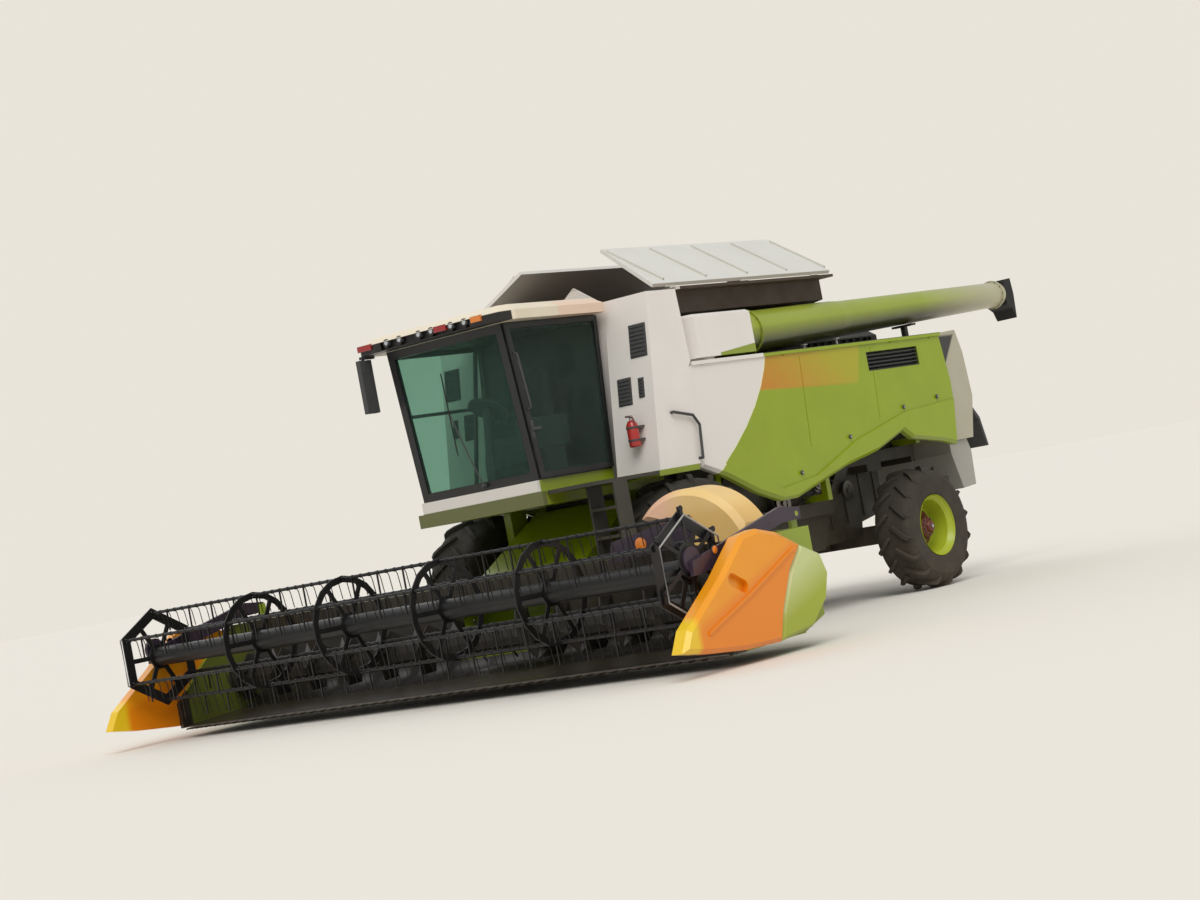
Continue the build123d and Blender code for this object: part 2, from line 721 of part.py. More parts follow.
# Engine on the separator body behind the tank
with BuildPart() as engine:
    block((-480, 480), (TANK_REAR + 250, TANK_REAR + 1450), (ENGINE_FLOOR, PANEL_TOP - 60))
save(engine, "engine")

# Engine hood with its air intake and exhaust on the deck
HOOD_BOX_X = (-1150, 700)
HOOD_BOX_D = (TANK_REAR + 120, DECK_REAR - 150)
HOOD_BOX_HEIGHT = 190
HOOD_SLATS = 9
with BuildPart() as engine_hood:
    block(HOOD_BOX_X, HOOD_BOX_D, (DECK_TOP, DECK_TOP + HOOD_BOX_HEIGHT))
    chamfer(engine_hood.faces().sort_by(Axis.Z)[-1].edges(), 60)
    block(
        (HOOD_BOX_X[1] - 40, HOOD_BOX_X[1] + 1),
        (HOOD_BOX_D[0] + 120, HOOD_BOX_D[1] - 120),
        (DECK_TOP + 25, DECK_TOP + 115),
        mode=Mode.SUBTRACT,
    )
    slat_room = (HOOD_BOX_D[1] - HOOD_BOX_D[0] - 240) / HOOD_SLATS
    for slat in range(HOOD_SLATS):
        slat_d = HOOD_BOX_D[0] + 120 + slat_room * (slat + 0.5)
        slat_x = (HOOD_BOX_X[1] - 41, HOOD_BOX_X[1] - 6)
        block(slat_x, (slat_d - 8, slat_d + 8), (DECK_TOP + 24, DECK_TOP + 116))
    rod(at(-750, TANK_REAR + 420, DECK_TOP + 100), at(-750, TANK_REAR + 420, DECK_TOP + 480), 130)
    rod(at(-250, TANK_REAR + 1300, DECK_TOP + 100), at(-250, TANK_REAR + 1300, DECK_TOP + 470), 70)
save(engine_hood, "engine_hood")

# Rear hood, open below, with the straw chute and deflector
HOOD_OUTLINE = [
    (DECK_REAR, 2960),
    (DECK_REAR + 660, 2985),
    (DECK_REAR + 750, 2700),
    (DECK_REAR + 790, 2160),
    (DECK_REAR + 630, 1650),
    (DECK_REAR + 80, 1650),
    (DECK_REAR + 80, 2300),
    (DECK_REAR, 2300),
]
HOOD_HALF_WIDTH = 1300
HOOD_WALL = 40
HOOD_HOLLOW = [
    (DECK_REAR + 90, 2900),
    (DECK_REAR + 630, 2920),
    (DECK_REAR + 710, 2690),
    (DECK_REAR + 748, 2165),
    (DECK_REAR + 570, 1600),
    (DECK_REAR + 120, 1600),
    (DECK_REAR + 120, 2300),
]
with BuildPart() as rear_hood:
    with BuildSketch(Plane.YZ.offset(-HOOD_HALF_WIDTH)):
        Polygon(*side(HOOD_OUTLINE), align=None)
    extrude(amount=2 * HOOD_HALF_WIDTH)
    with BuildSketch(Plane.YZ.offset(-HOOD_HALF_WIDTH + HOOD_WALL)):
        Polygon(*side(HOOD_HOLLOW), align=None)
    extrude(amount=2 * (HOOD_HALF_WIDTH - HOOD_WALL), mode=Mode.SUBTRACT)
save(rear_hood, "rear_hood")

CHUTE_OUTLINE = [
    (DECK_REAR + 130, 1900),
    (DECK_REAR + 430, 1900),
    (DECK_REAR + 590, 1500),
    (DECK_REAR + 560, 1080),
    (DECK_REAR + 270, 1060),
    (DECK_REAR + 130, 1500),
]
CHUTE_HOLLOW = [
    (DECK_REAR + 170, 1950),
    (DECK_REAR + 400, 1950),
    (DECK_REAR + 550, 1500),
    (DECK_REAR + 520, 1000),
    (DECK_REAR + 310, 1000),
    (DECK_REAR + 170, 1500),
]
CHUTE_HALF_WIDTH = HOOD_HALF_WIDTH - HOOD_WALL
with BuildPart() as straw_chute:
    with BuildSketch(Plane.YZ.offset(-CHUTE_HALF_WIDTH)):
        Polygon(*side(CHUTE_OUTLINE), align=None)
    extrude(amount=2 * CHUTE_HALF_WIDTH)
    with BuildSketch(Plane.YZ.offset(-CHUTE_HALF_WIDTH + 40)):
        Polygon(*side(CHUTE_HOLLOW), align=None)
    extrude(amount=2 * (CHUTE_HALF_WIDTH - 40), mode=Mode.SUBTRACT)
save(straw_chute, "straw_chute")

DEFLECTOR_TOP = 2120
DEFLECTOR_THICKNESS = 60
HOOD_CORNER = HOOD_OUTLINE[3]
HOOD_FOOT = HOOD_OUTLINE[4]
hood_slope = (HOOD_CORNER[0] - HOOD_FOOT[0]) / (HOOD_CORNER[1] - HOOD_FOOT[1])
deflector_seat = [
    (HOOD_CORNER[0] - (HOOD_CORNER[1] - z) * hood_slope + FIT_GAP, z)
    for z in (DEFLECTOR_TOP - DEFLECTOR_THICKNESS, DEFLECTOR_TOP)
]
DEFLECTOR_OUTLINE = [
    deflector_seat[1],
    (DECK_REAR + 960, 2050),
    (DECK_REAR + 1110, 1880),
    (DECK_REAR + 1200, 1520),
    (DECK_REAR + 1165, 1515),
    (DECK_REAR + 1070, 1860),
    (DECK_REAR + 930, 2000),
    deflector_seat[0],
]
DEFLECTOR_HALF_WIDTH = 1150
with BuildPart() as straw_deflector:
    with BuildSketch(Plane.YZ.offset(-DEFLECTOR_HALF_WIDTH)):
        Polygon(*side(DEFLECTOR_OUTLINE), align=None)
    extrude(amount=2 * DEFLECTOR_HALF_WIDTH)
save(straw_deflector, "straw_deflector")

# Grain tank: a hopper that widens above the deck, with a rim and a fixed centre strip
TANK_SECTION = [
    (TANK_LOW_HALF, TANK_BOTTOM),
    (TANK_LOW_HALF, TANK_SHOULDER),
    (TANK_HIGH_HALF, TANK_SHOULDER + 50),
    (TANK_HIGH_HALF, TANK_TOP - RIM_THICKNESS),
    (TANK_HIGH_HALF + RIM_OVERHANG, TANK_TOP - RIM_THICKNESS),
    (TANK_HIGH_HALF + RIM_OVERHANG, TANK_TOP),
]
TANK_HOLLOW = [
    (250, TANK_BOTTOM + TANK_WALL),
    (TANK_LOW_HALF - TANK_WALL, TANK_BOTTOM + 600),
    (TANK_LOW_HALF - TANK_WALL, TANK_SHOULDER + TANK_WALL),
    (TANK_HIGH_HALF - TANK_WALL, TANK_SHOULDER + 50 + TANK_WALL),
    (TANK_HIGH_HALF - TANK_WALL, TANK_TOP + 1),
]
with BuildPart() as grain_tank:
    front_plane = Plane(origin=at(0, TANK_FRONT, 0), x_dir=(1, 0, 0), z_dir=(0, -1, 0))
    with BuildSketch(front_plane):
        Polygon(*TANK_SECTION, *[(-x, z) for x, z in reversed(TANK_SECTION)], align=None)
    extrude(amount=-(TANK_REAR - TANK_FRONT))
    with BuildSketch(front_plane.offset(-TANK_WALL)):
        Polygon(*TANK_HOLLOW, *[(-x, z) for x, z in reversed(TANK_HOLLOW)], align=None)
    extrude(amount=-(TANK_REAR - TANK_FRONT - 2 * TANK_WALL), mode=Mode.SUBTRACT)
    block(
        (-CENTRE_STRIP_HALF, CENTRE_STRIP_HALF),
        (TANK_FRONT, TANK_REAR),
        (TANK_TOP - RIM_THICKNESS, TANK_TOP),
    )
    for end_d in (TANK_FRONT + 1, TANK_REAR - RIM_THICKNESS - 1):
        with BuildSketch(Plane(origin=at(0, end_d, 0), x_dir=(1, 0, 0), z_dir=(0, -1, 0))):
            Polygon(
                (-CENTRE_STRIP_HALF, TANK_TOP - 5),
                (CENTRE_STRIP_HALF, TANK_TOP - 5),
                (0, TANK_TOP + GUSSET_RISE),
                align=None,
            )
        extrude(amount=-RIM_THICKNESS)
save(grain_tank, "grain_tank")

# Tank covers: two flaps hinged on the rim's outer edges, half open
EAVE_X = TANK_HIGH_HALF + RIM_OVERHANG
COVER_HINGE_Z = TANK_TOP + COVER_LIFT
slope = radians(COVER_ANGLE)
with BuildPart() as cover_left:
    flap_plane = Plane(
        origin=at(EAVE_X, 0, COVER_HINGE_Z),
        x_dir=(0, 1, 0),
        z_dir=(sin(slope), 0, cos(slope)),
    )
    with BuildSketch(flap_plane):
        Polygon(
            (COVER_FRONT, 0),
            (COVER_REAR, 0),
            (COVER_REAR + COVER_REAR_SKEW, COVER_WIDTH),
            (COVER_FRONT + COVER_SKEW, COVER_WIDTH),
            align=None,
        )
    extrude(amount=COVER_THICKNESS)
    for rib in range(COVER_RIBS):
        rib_d = COVER_FRONT + COVER_SKEW + (COVER_REAR - COVER_FRONT - COVER_SKEW) * rib / (COVER_RIBS - 1)
        with BuildSketch(flap_plane.offset(COVER_THICKNESS)):
            with Locations((rib_d, COVER_WIDTH / 2)):
                Rectangle(COVER_RIB, COVER_WIDTH - 160)
        extrude(amount=COVER_RIB)
    for knuckle_d in (COVER_FRONT + 300, (COVER_FRONT + COVER_REAR) / 2, COVER_REAR - 300):
        rod(
            at(EAVE_X, knuckle_d - 75, COVER_HINGE_Z),
            at(EAVE_X, knuckle_d + 75, COVER_HINGE_Z),
            COVER_LIFT - FIT_GAP,
        )
save(cover_left, "tank_cover_left")
with BuildPart() as cover_right:
    mirror(cover_left.part, about=Plane.YZ)
save(cover_right, "tank_cover_right")

# Unloader: shroud turning on the deck, tapered tube and rubber spout
SHROUD_PLAN = [
    # x and distance from the turning axis, its corners kept clear of tank and front body as it swings
    (-270, SHROUD_REAR - UNLOADER_D),
    (-270, -150),
    (-50, -350),
    (120, -345),
    (SHROUD_OUTER - UNLOADER_X, -250),
    (SHROUD_OUTER - UNLOADER_X, SHROUD_REAR - UNLOADER_D),
]
with BuildPart() as unloader_shroud:
    with BuildSketch(Plane.XY.offset(SHROUD_BOTTOM)):
        with Locations((UNLOADER_X, AXLE_Y + UNLOADER_D)):
            Polygon(*SHROUD_PLAN, align=None)
    extrude(amount=SHROUD_TOP - SHROUD_BOTTOM)
    chamfer(unloader_shroud.faces().sort_by(Axis.Z)[-1].edges(), 30)
    rod(
        at(UNLOADER_X, UNLOADER_D, DECK_TOP + FIT_GAP),
        at(UNLOADER_X, UNLOADER_D, SHROUD_BOTTOM + 10),
        TURRET_R,
    )
save(unloader_shroud, "unloader_shroud")

tube_run = TUBE_END_D - SHROUD_REAR
tube_rise = TUBE_END_Z - TUBE_ROOT_Z
tube_length = hypot(tube_run, tube_rise) + 20
TUBE_SHAPE = [
    # share of the length, radius
    (0.0, TUBE_ROOT_R),
    (0.03, TUBE_ROOT_R),
    (0.33, TUBE_MID_R + 12),
    (0.36, TUBE_MID_R),
    (1.0, TUBE_END_R),
]
tube_start = at(TUBE_X, SHROUD_REAR - 10, TUBE_ROOT_Z)
tube_direction = Vector(0, tube_run, tube_rise).normalized()
tube_plane = Plane(origin=tube_start, x_dir=tube_direction, z_dir=(1, 0, 0))
with BuildPart() as unloader_tube:
    with BuildSketch(tube_plane):
        Polygon(
            (0, 0),
            *[(share * tube_length, radius) for share, radius in TUBE_SHAPE],
            (tube_length, 0),
            align=None,
        )
    revolve(axis=Axis(tube_start, tube_direction))
    cut_heights = (SHROUD_BOTTOM - 200, SHROUD_TOP + 200)
    for cut_from, cut_to in ((SHROUD_REAR - 50, SHROUD_REAR), (TUBE_END_D, TUBE_END_D + 50)):
        block((0, 2 * TUBE_X), (cut_from, cut_to), cut_heights, mode=Mode.SUBTRACT)
save(unloader_tube, "unloader_tube")

SPOUT_OUTLINE = [
    (TUBE_END_D, TUBE_END_Z - TUBE_END_R),
    (TUBE_END_D, TUBE_END_Z + TUBE_END_R + 8),
    (REAR_REACH - 25, TUBE_END_Z + TUBE_END_R + 20),
    (REAR_REACH, TUBE_END_Z - 20),
    (REAR_REACH - 25, 3040),
    (REAR_REACH - 90, 3160),
]
with BuildPart() as unloader_spout:
    with BuildSketch(Plane.YZ.offset(TUBE_X - TUBE_END_R + 10)):
        Polygon(*side(SPOUT_OUTLINE), align=None)
    extrude(amount=2 * TUBE_END_R - 20)
save(unloader_spout, "unloader_spout")

# Tube rest on the deck under the folded tube
rest_share = (TUBE_REST_D - SHROUD_REAR) / tube_run
rest_radius = TUBE_MID_R + (TUBE_END_R - TUBE_MID_R) * (rest_share - 0.36) / 0.64
rest_top = TUBE_ROOT_Z + rest_share * tube_rise - rest_radius - 6
with BuildPart() as tube_rest:
    block((TUBE_X - 30, TUBE_X + 30), (TUBE_REST_D - 30, TUBE_REST_D + 30), (DECK_TOP, rest_top - 20))
    block((TUBE_X - 140, TUBE_X + 140), (TUBE_REST_D - 50, TUBE_REST_D + 50), (rest_top - 25, rest_top - 1))
save(tube_rest, "tube_rest")

# Cab base and walkway
CAB_BASE_PLAN = [
    # x, distance
    (CAB_HALF_WIDTH + 60, -1560),
    (CAB_HALF_WIDTH + 80, -420),
    (BODY_HALF_WIDTH, -420),
    (BODY_HALF_WIDTH, 260),
]
with BuildPart() as cab_base:
    with BuildSketch(Plane.XY.offset(CAB_BASE_BOTTOM)):
        right_half = [(x, AXLE_Y + d) for x, d in CAB_BASE_PLAN]
        Polygon(*right_half, *[(-x, y) for x, y in reversed(right_half)], align=None)
    extrude(amount=FRONT_BODY_BOTTOM - CAB_BASE_BOTTOM)
    block((-CAB_HALF_WIDTH, CAB_HALF_WIDTH), (-1540, CAB_REAR_LOW), (FRONT_BODY_BOTTOM - 10, CAB_FLOOR_Z))
    for sign, _ in SIDES:
        arch = sorted((sign * FENDER_INNER, sign * (BODY_HALF_WIDTH + 1)))
        block(arch, (-450, 300), (CAB_BASE_BOTTOM - 1, FENDER_BOTTOM), mode=Mode.SUBTRACT)
        block(
            (sign * 850 - 50, sign * 850 + 50),
            (-240, FEEDER_PIVOT_D - 130),
            (RAIL_TOP, CAB_BASE_BOTTOM + 10),
        )
save(cab_base, "cab_base")

LADDER_X = (1130, BODY_HALF_WIDTH)
LADDER_D = (-1180, -960)
LADDER_PLATE = 25
LADDER_FOOT = 700
LADDER_STEPS = 4
LADDER_RISE = 290
with BuildPart() as walkway:
    block(
        (CAB_HALF_WIDTH + 80, BODY_HALF_WIDTH),
        (-1500, -420),
        (WALKWAY_Z - WALKWAY_THICKNESS, WALKWAY_Z),
    )
    for stringer_x in (LADDER_X[0], LADDER_X[1] - LADDER_PLATE):
        block((stringer_x, stringer_x + LADDER_PLATE), LADDER_D, (LADDER_FOOT, WALKWAY_Z - 5))
    for step in range(LADDER_STEPS):
        step_z = LADDER_FOOT + 20 + LADDER_RISE * step
        block(LADDER_X, LADDER_D, (step_z, step_z + 30))
save(walkway, "walkway")

# Cab shell with its windows cut, door on the left
CAB_OUTLINE = [
    (CAB_REAR_LOW, CAB_FLOOR_Z),
    (CAB_REAR_HIGH, CAB_TOP_Z),
    (CAB_FRONT_HIGH, CAB_TOP_Z),
    (CAB_FRONT_LOW, CAB_FLOOR_Z),
]
cab_height = CAB_TOP_Z - CAB_FLOOR_Z
front_lean = (CAB_FRONT_LOW - CAB_FRONT_HIGH) / cab_height
rear_lean = (CAB_REAR_HIGH - CAB_REAR_LOW) / cab_height


def cab_section(low, high, front_inset, rear_inset):
    """Side outline of the cab between two heights, held in from its front and rear walls."""
    points = []
    for z in (low, high):
        rise = z - CAB_FLOOR_Z
        front = CAB_FRONT_LOW - front_lean * rise + front_inset
        rear = CAB_REAR_LOW + rear_lean * rise - rear_inset
        points.append((front, rear))
    return [(points[0][1], low), (points[1][1], high), (points[1][0], high), (points[0][0], low)]


with BuildPart() as cab_shell:
    with BuildSketch(Plane.YZ.offset(-CAB_HALF_WIDTH)):
        Polygon(*side(CAB_OUTLINE), align=None)
    extrude(amount=2 * CAB_HALF_WIDTH)
    with BuildSketch(Plane.YZ.offset(-CAB_HALF_WIDTH + CAB_WALL)):
        Polygon(*side(cab_section(CAB_FLOOR_Z + 40, CAB_TOP_Z - 40, CAB_WALL, CAB_WALL)), align=None)
    extrude(amount=2 * (CAB_HALF_WIDTH - CAB_WALL), mode=Mode.SUBTRACT)
    window = cab_section(CAB_FLOOR_Z + PILLAR, CAB_TOP_Z - PILLAR, PILLAR, PILLAR)
    with BuildSketch(Plane.YZ.offset(-CAB_HALF_WIDTH - 1)):
        Polygon(*side(window), align=None)
    extrude(amount=2 * CAB_HALF_WIDTH + 2, mode=Mode.SUBTRACT)
    block(
        (-CAB_HALF_WIDTH + PILLAR, CAB_HALF_WIDTH - PILLAR),
        (CAB_FRONT_HIGH - 100, CAB_FRONT_LOW + 100),
        (CAB_FLOOR_Z + PILLAR, CAB_TOP_Z - PILLAR),
        mode=Mode.SUBTRACT,
    )
save(cab_shell, "cab_shell")

# Fixed glass: windscreen and right window, let into the shell
with BuildPart() as cab_glass:
    screen_low = CAB_FLOOR_Z + PILLAR
    screen_high = CAB_TOP_Z - PILLAR
    with BuildSketch(Plane.YZ.offset(-CAB_HALF_WIDTH + PILLAR)):
        low_front = CAB_FRONT_LOW - front_lean * (screen_low - CAB_FLOOR_Z) + 15
        high_front = CAB_FRONT_LOW - front_lean * (screen_high - CAB_FLOOR_Z) + 15
        Polygon(
            *side(
                [
                    (low_front, screen_low),
                    (high_front, screen_high),
                    (high_front + GLASS, screen_high),
                    (low_front + GLASS, screen_low),
                ]
            ),
            align=None,
        )
    extrude(amount=2 * (CAB_HALF_WIDTH - PILLAR))
    with BuildSketch(Plane.YZ.offset(-CAB_HALF_WIDTH + 10)):
        Polygon(*side(window), align=None)
    extrude(amount=GLASS)
save(cab_glass, "cab_glass")

# Cab door: a frame with its glass, hinged on the front pillar
DOOR_INNER_X = CAB_HALF_WIDTH + DOOR_GAP
door_low = CAB_FLOOR_Z + 15
door_high = CAB_TOP_Z - 12
door_outer = cab_section(door_low, door_high, DOOR_INSET, DOOR_INSET)
glass_inset = DOOR_INSET + DOOR_FRAME
door_inner = cab_section(door_low + DOOR_FRAME, door_high - DOOR_FRAME, glass_inset, glass_inset)
door_axis_x = CAB_HALF_WIDTH + FIT_GAP + KNUCKLE_PIN_R
with BuildPart() as cab_door:
    with BuildSketch(Plane.YZ.offset(DOOR_INNER_X)):
        Polygon(*side(door_outer), align=None)
        Polygon(*side(door_inner), align=None, mode=Mode.SUBTRACT)
    extrude(amount=DOOR_THICKNESS)
    for hinge_z in (CAB_FLOOR_Z + 250, CAB_TOP_Z - 250):
        ends = []
        for z in (hinge_z - 50, hinge_z + 50):
            front_edge = CAB_FRONT_LOW - front_lean * (z - CAB_FLOOR_Z) + DOOR_INSET
            ends.append(at(door_axis_x, front_edge, z))
        rod(*ends, KNUCKLE_PIN_R)
save(cab_door, "cab_door")
with BuildPart() as door_glass:
    with BuildSketch(Plane.YZ.offset(DOOR_INNER_X + 12)):
        Polygon(*side(door_inner), align=None)
    extrude(amount=GLASS)
save(door_glass, "cab_door_glass")

# Cab roof with its overhang in front
ROOF_PLAN = [
    # x, distance
    (720, ROOF_FRONT),
    (1000, ROOF_FRONT + 60),
    (ROOF_HALF_WIDTH, ROOF_FRONT + 220),
    (ROOF_HALF_WIDTH - 60, CAB_REAR_HIGH - 60),
    (ROOF_HALF_WIDTH - 180, CAB_REAR_HIGH),
]
VISOR_HALF = 640
VISOR_DEPTH = 45
LAMP_X = (-560, -370, -90, 90, 370, 560)
LAMP_R = 34
with BuildPart() as cab_roof:
    with BuildSketch(Plane.XY.offset(CAB_TOP_Z)):
        half_plan = [(x, AXLE_Y + d) for x, d in ROOF_PLAN]
        Polygon(*half_plan, *[(-x, y) for x, y in reversed(half_plan)], align=None)
    extrude(amount=ROOF_THICKNESS)
    chamfer(cab_roof.faces().sort_by(Axis.Z)[-1].edges(), 70, 110)
    block(
        (-VISOR_HALF, VISOR_HALF),
        (ROOF_FRONT - 1, ROOF_FRONT + VISOR_DEPTH),
        (CAB_TOP_Z + 12, CAB_TOP_Z + 88),
        mode=Mode.SUBTRACT,
    )
    for lamp_x in LAMP_X:
        lamp_z = CAB_TOP_Z + 50
        rod(at(lamp_x, ROOF_FRONT + VISOR_DEPTH + 5, lamp_z), at(lamp_x, ROOF_FRONT + 4, lamp_z), LAMP_R)
save(cab_roof, "cab_roof")

# Seat, console and steering column
with BuildPart() as cab_interior:
    floor = CAB_FLOOR_Z + 40
    block((-260, 260), (-950, -450), (floor + 180, floor + 480))
    block((-260, 260), (-560, -430), (floor + 470, floor + 1150))
    block((-150, 150), (-850, -550), (floor, floor + 190))
    block((280, 480), (-1100, -500), (floor + 300, floor + 620))
    block((300, 460), (-900, -600), (floor, floor + 310))
    rod(at(0, -1300, floor + 6.8), at(0, -1180, floor + 800), 45)
    rod(at(0, -1180, floor + 795), at(0, -1163, floor + 825), 200)
save(cab_interior, "cab_interior")

# Mirror on its arm at the machine's right roof corner
with BuildPart() as mirror_part:
    block((-1010, -950), (-1930, -1760), (3030, 3590))
    rod(at(-980, -1850, 3580), at(-980, -1850, 3610), 15)
    block((-1000, -960), (-1880, -1690), (3600, CAB_TOP_Z - FIT_GAP))
save(mirror_part, "cab_mirror")

# Handrail on the left side of the front body
HANDRAIL_X = BODY_HALF_WIDTH + 40
HANDRAIL_R = 15
HANDRAIL_ROUTE = [(-70, 2460), (250, 2400), (335, 2290), (290, 1945)]
with BuildPart() as handrail:
    for (from_d, from_z), (to_d, to_z) in zip(HANDRAIL_ROUTE, HANDRAIL_ROUTE[1:]):
        rod(at(HANDRAIL_X, from_d, from_z), at(HANDRAIL_X, to_d, to_z), HANDRAIL_R)
        with Locations(at(HANDRAIL_X, to_d, to_z)):
            Sphere(HANDRAIL_R)
    for foot_d, foot_z in ((-55, 2457), (276, 1945)):
        rod(at(BODY_HALF_WIDTH, foot_d, foot_z), at(HANDRAIL_X + 5, foot_d, foot_z), HANDRAIL_R)
save(handrail, "body_handrail")

# Feeder house, swinging on two pins at its rear
FEEDER_FRONT = TABLE_BACK_D + BACK_BEAM_DEPTH
FEEDER_OUTLINE = [
    (FEEDER_FRONT, FEEDER_FRONT_BOTTOM),
    (FEEDER_FRONT, FEEDER_FRONT_TOP),
    (FEEDER_PIVOT_D - 90, FEEDER_PIVOT_Z + 178),
    (FEEDER_PIVOT_D + 110, FEEDER_PIVOT_Z - 165),
]
(front_d, bottom_z), (_, top_z), (top_rear_d, top_rear_z), (low_rear_d, low_rear_z) = FEEDER_OUTLINE
floor_rise = FEEDER_MOUTH_DEPTH * (low_rear_z - bottom_z) / (low_rear_d - front_d)
roof_rise = FEEDER_MOUTH_DEPTH * (top_rear_z - top_z) / (top_rear_d - front_d)
MOUTH_END = FEEDER_FRONT + FEEDER_MOUTH_DEPTH
MOUTH_OUTLINE = [
    (FEEDER_FRONT - 10, FEEDER_MOUTH_LOW),
    (FEEDER_FRONT, FEEDER_MOUTH_LOW),
    (MOUTH_END, FEEDER_MOUTH_LOW + floor_rise),
    (MOUTH_END, FEEDER_MOUTH_HIGH + roof_rise),
    (FEEDER_FRONT, FEEDER_MOUTH_HIGH),
    (FEEDER_FRONT - 10, FEEDER_MOUTH_HIGH),
]
# The mouth's four walls are plates of their own, seated on the house behind them
with BuildPart() as feeder_house:
    with BuildSketch(Plane.YZ.offset(-FEEDER_HALF_WIDTH)):
        Polygon(*side(FEEDER_OUTLINE), align=None)
        with Locations((AXLE_Y + FEEDER_PIVOT_D, FEEDER_PIVOT_Z)):
            Circle(FEEDER_END_R)
    extrude(amount=2 * FEEDER_HALF_WIDTH)
    with BuildSketch(Plane.YZ.offset(-FEEDER_MOUTH_HALF)):
        Polygon(*side(MOUTH_OUTLINE), align=None)
    extrude(amount=2 * FEEDER_MOUTH_HALF, mode=Mode.SUBTRACT)
    seam_heights = (0, FEEDER_PIVOT_Z)
    block(
        (-FEEDER_HALF_WIDTH - 1, FEEDER_HALF_WIDTH + 1),
        (MOUTH_END, MOUTH_END + FIT_GAP),
        seam_heights,
        mode=Mode.SUBTRACT,
    )
    for sign, _ in SIDES:
        seam = sorted((sign * FEEDER_MOUTH_HALF, sign * (FEEDER_MOUTH_HALF + FIT_GAP)))
        block(seam, (FEEDER_FRONT - 1, MOUTH_END + FIT_GAP / 2), seam_heights, mode=Mode.SUBTRACT)
        rod(
            at(sign * (FEEDER_HALF_WIDTH + 1), FEEDER_PIVOT_D, FEEDER_PIVOT_Z),
            at(sign * (FEEDER_HALF_WIDTH - 45), FEEDER_PIVOT_D, FEEDER_PIVOT_Z),
            FEEDER_PIN_R + FIT_GAP,
            mode=Mode.SUBTRACT,
        )
        for ear in (-70, 40):
            block(
                (sign * LIFT_X + ear, sign * LIFT_X + ear + 30),
                (LIFT_EYE_D - 60, LIFT_EYE_D + 60),
                (LIFT_EYE_Z - 50, LIFT_EYE_Z + 200),
            )
        rod(
            at(sign * LIFT_X - 70, LIFT_EYE_D, LIFT_EYE_Z),
            at(sign * LIFT_X + 70, LIFT_EYE_D, LIFT_EYE_Z),
            LIFT_PIN_R,
        )
save(feeder_house, "feeder_house")

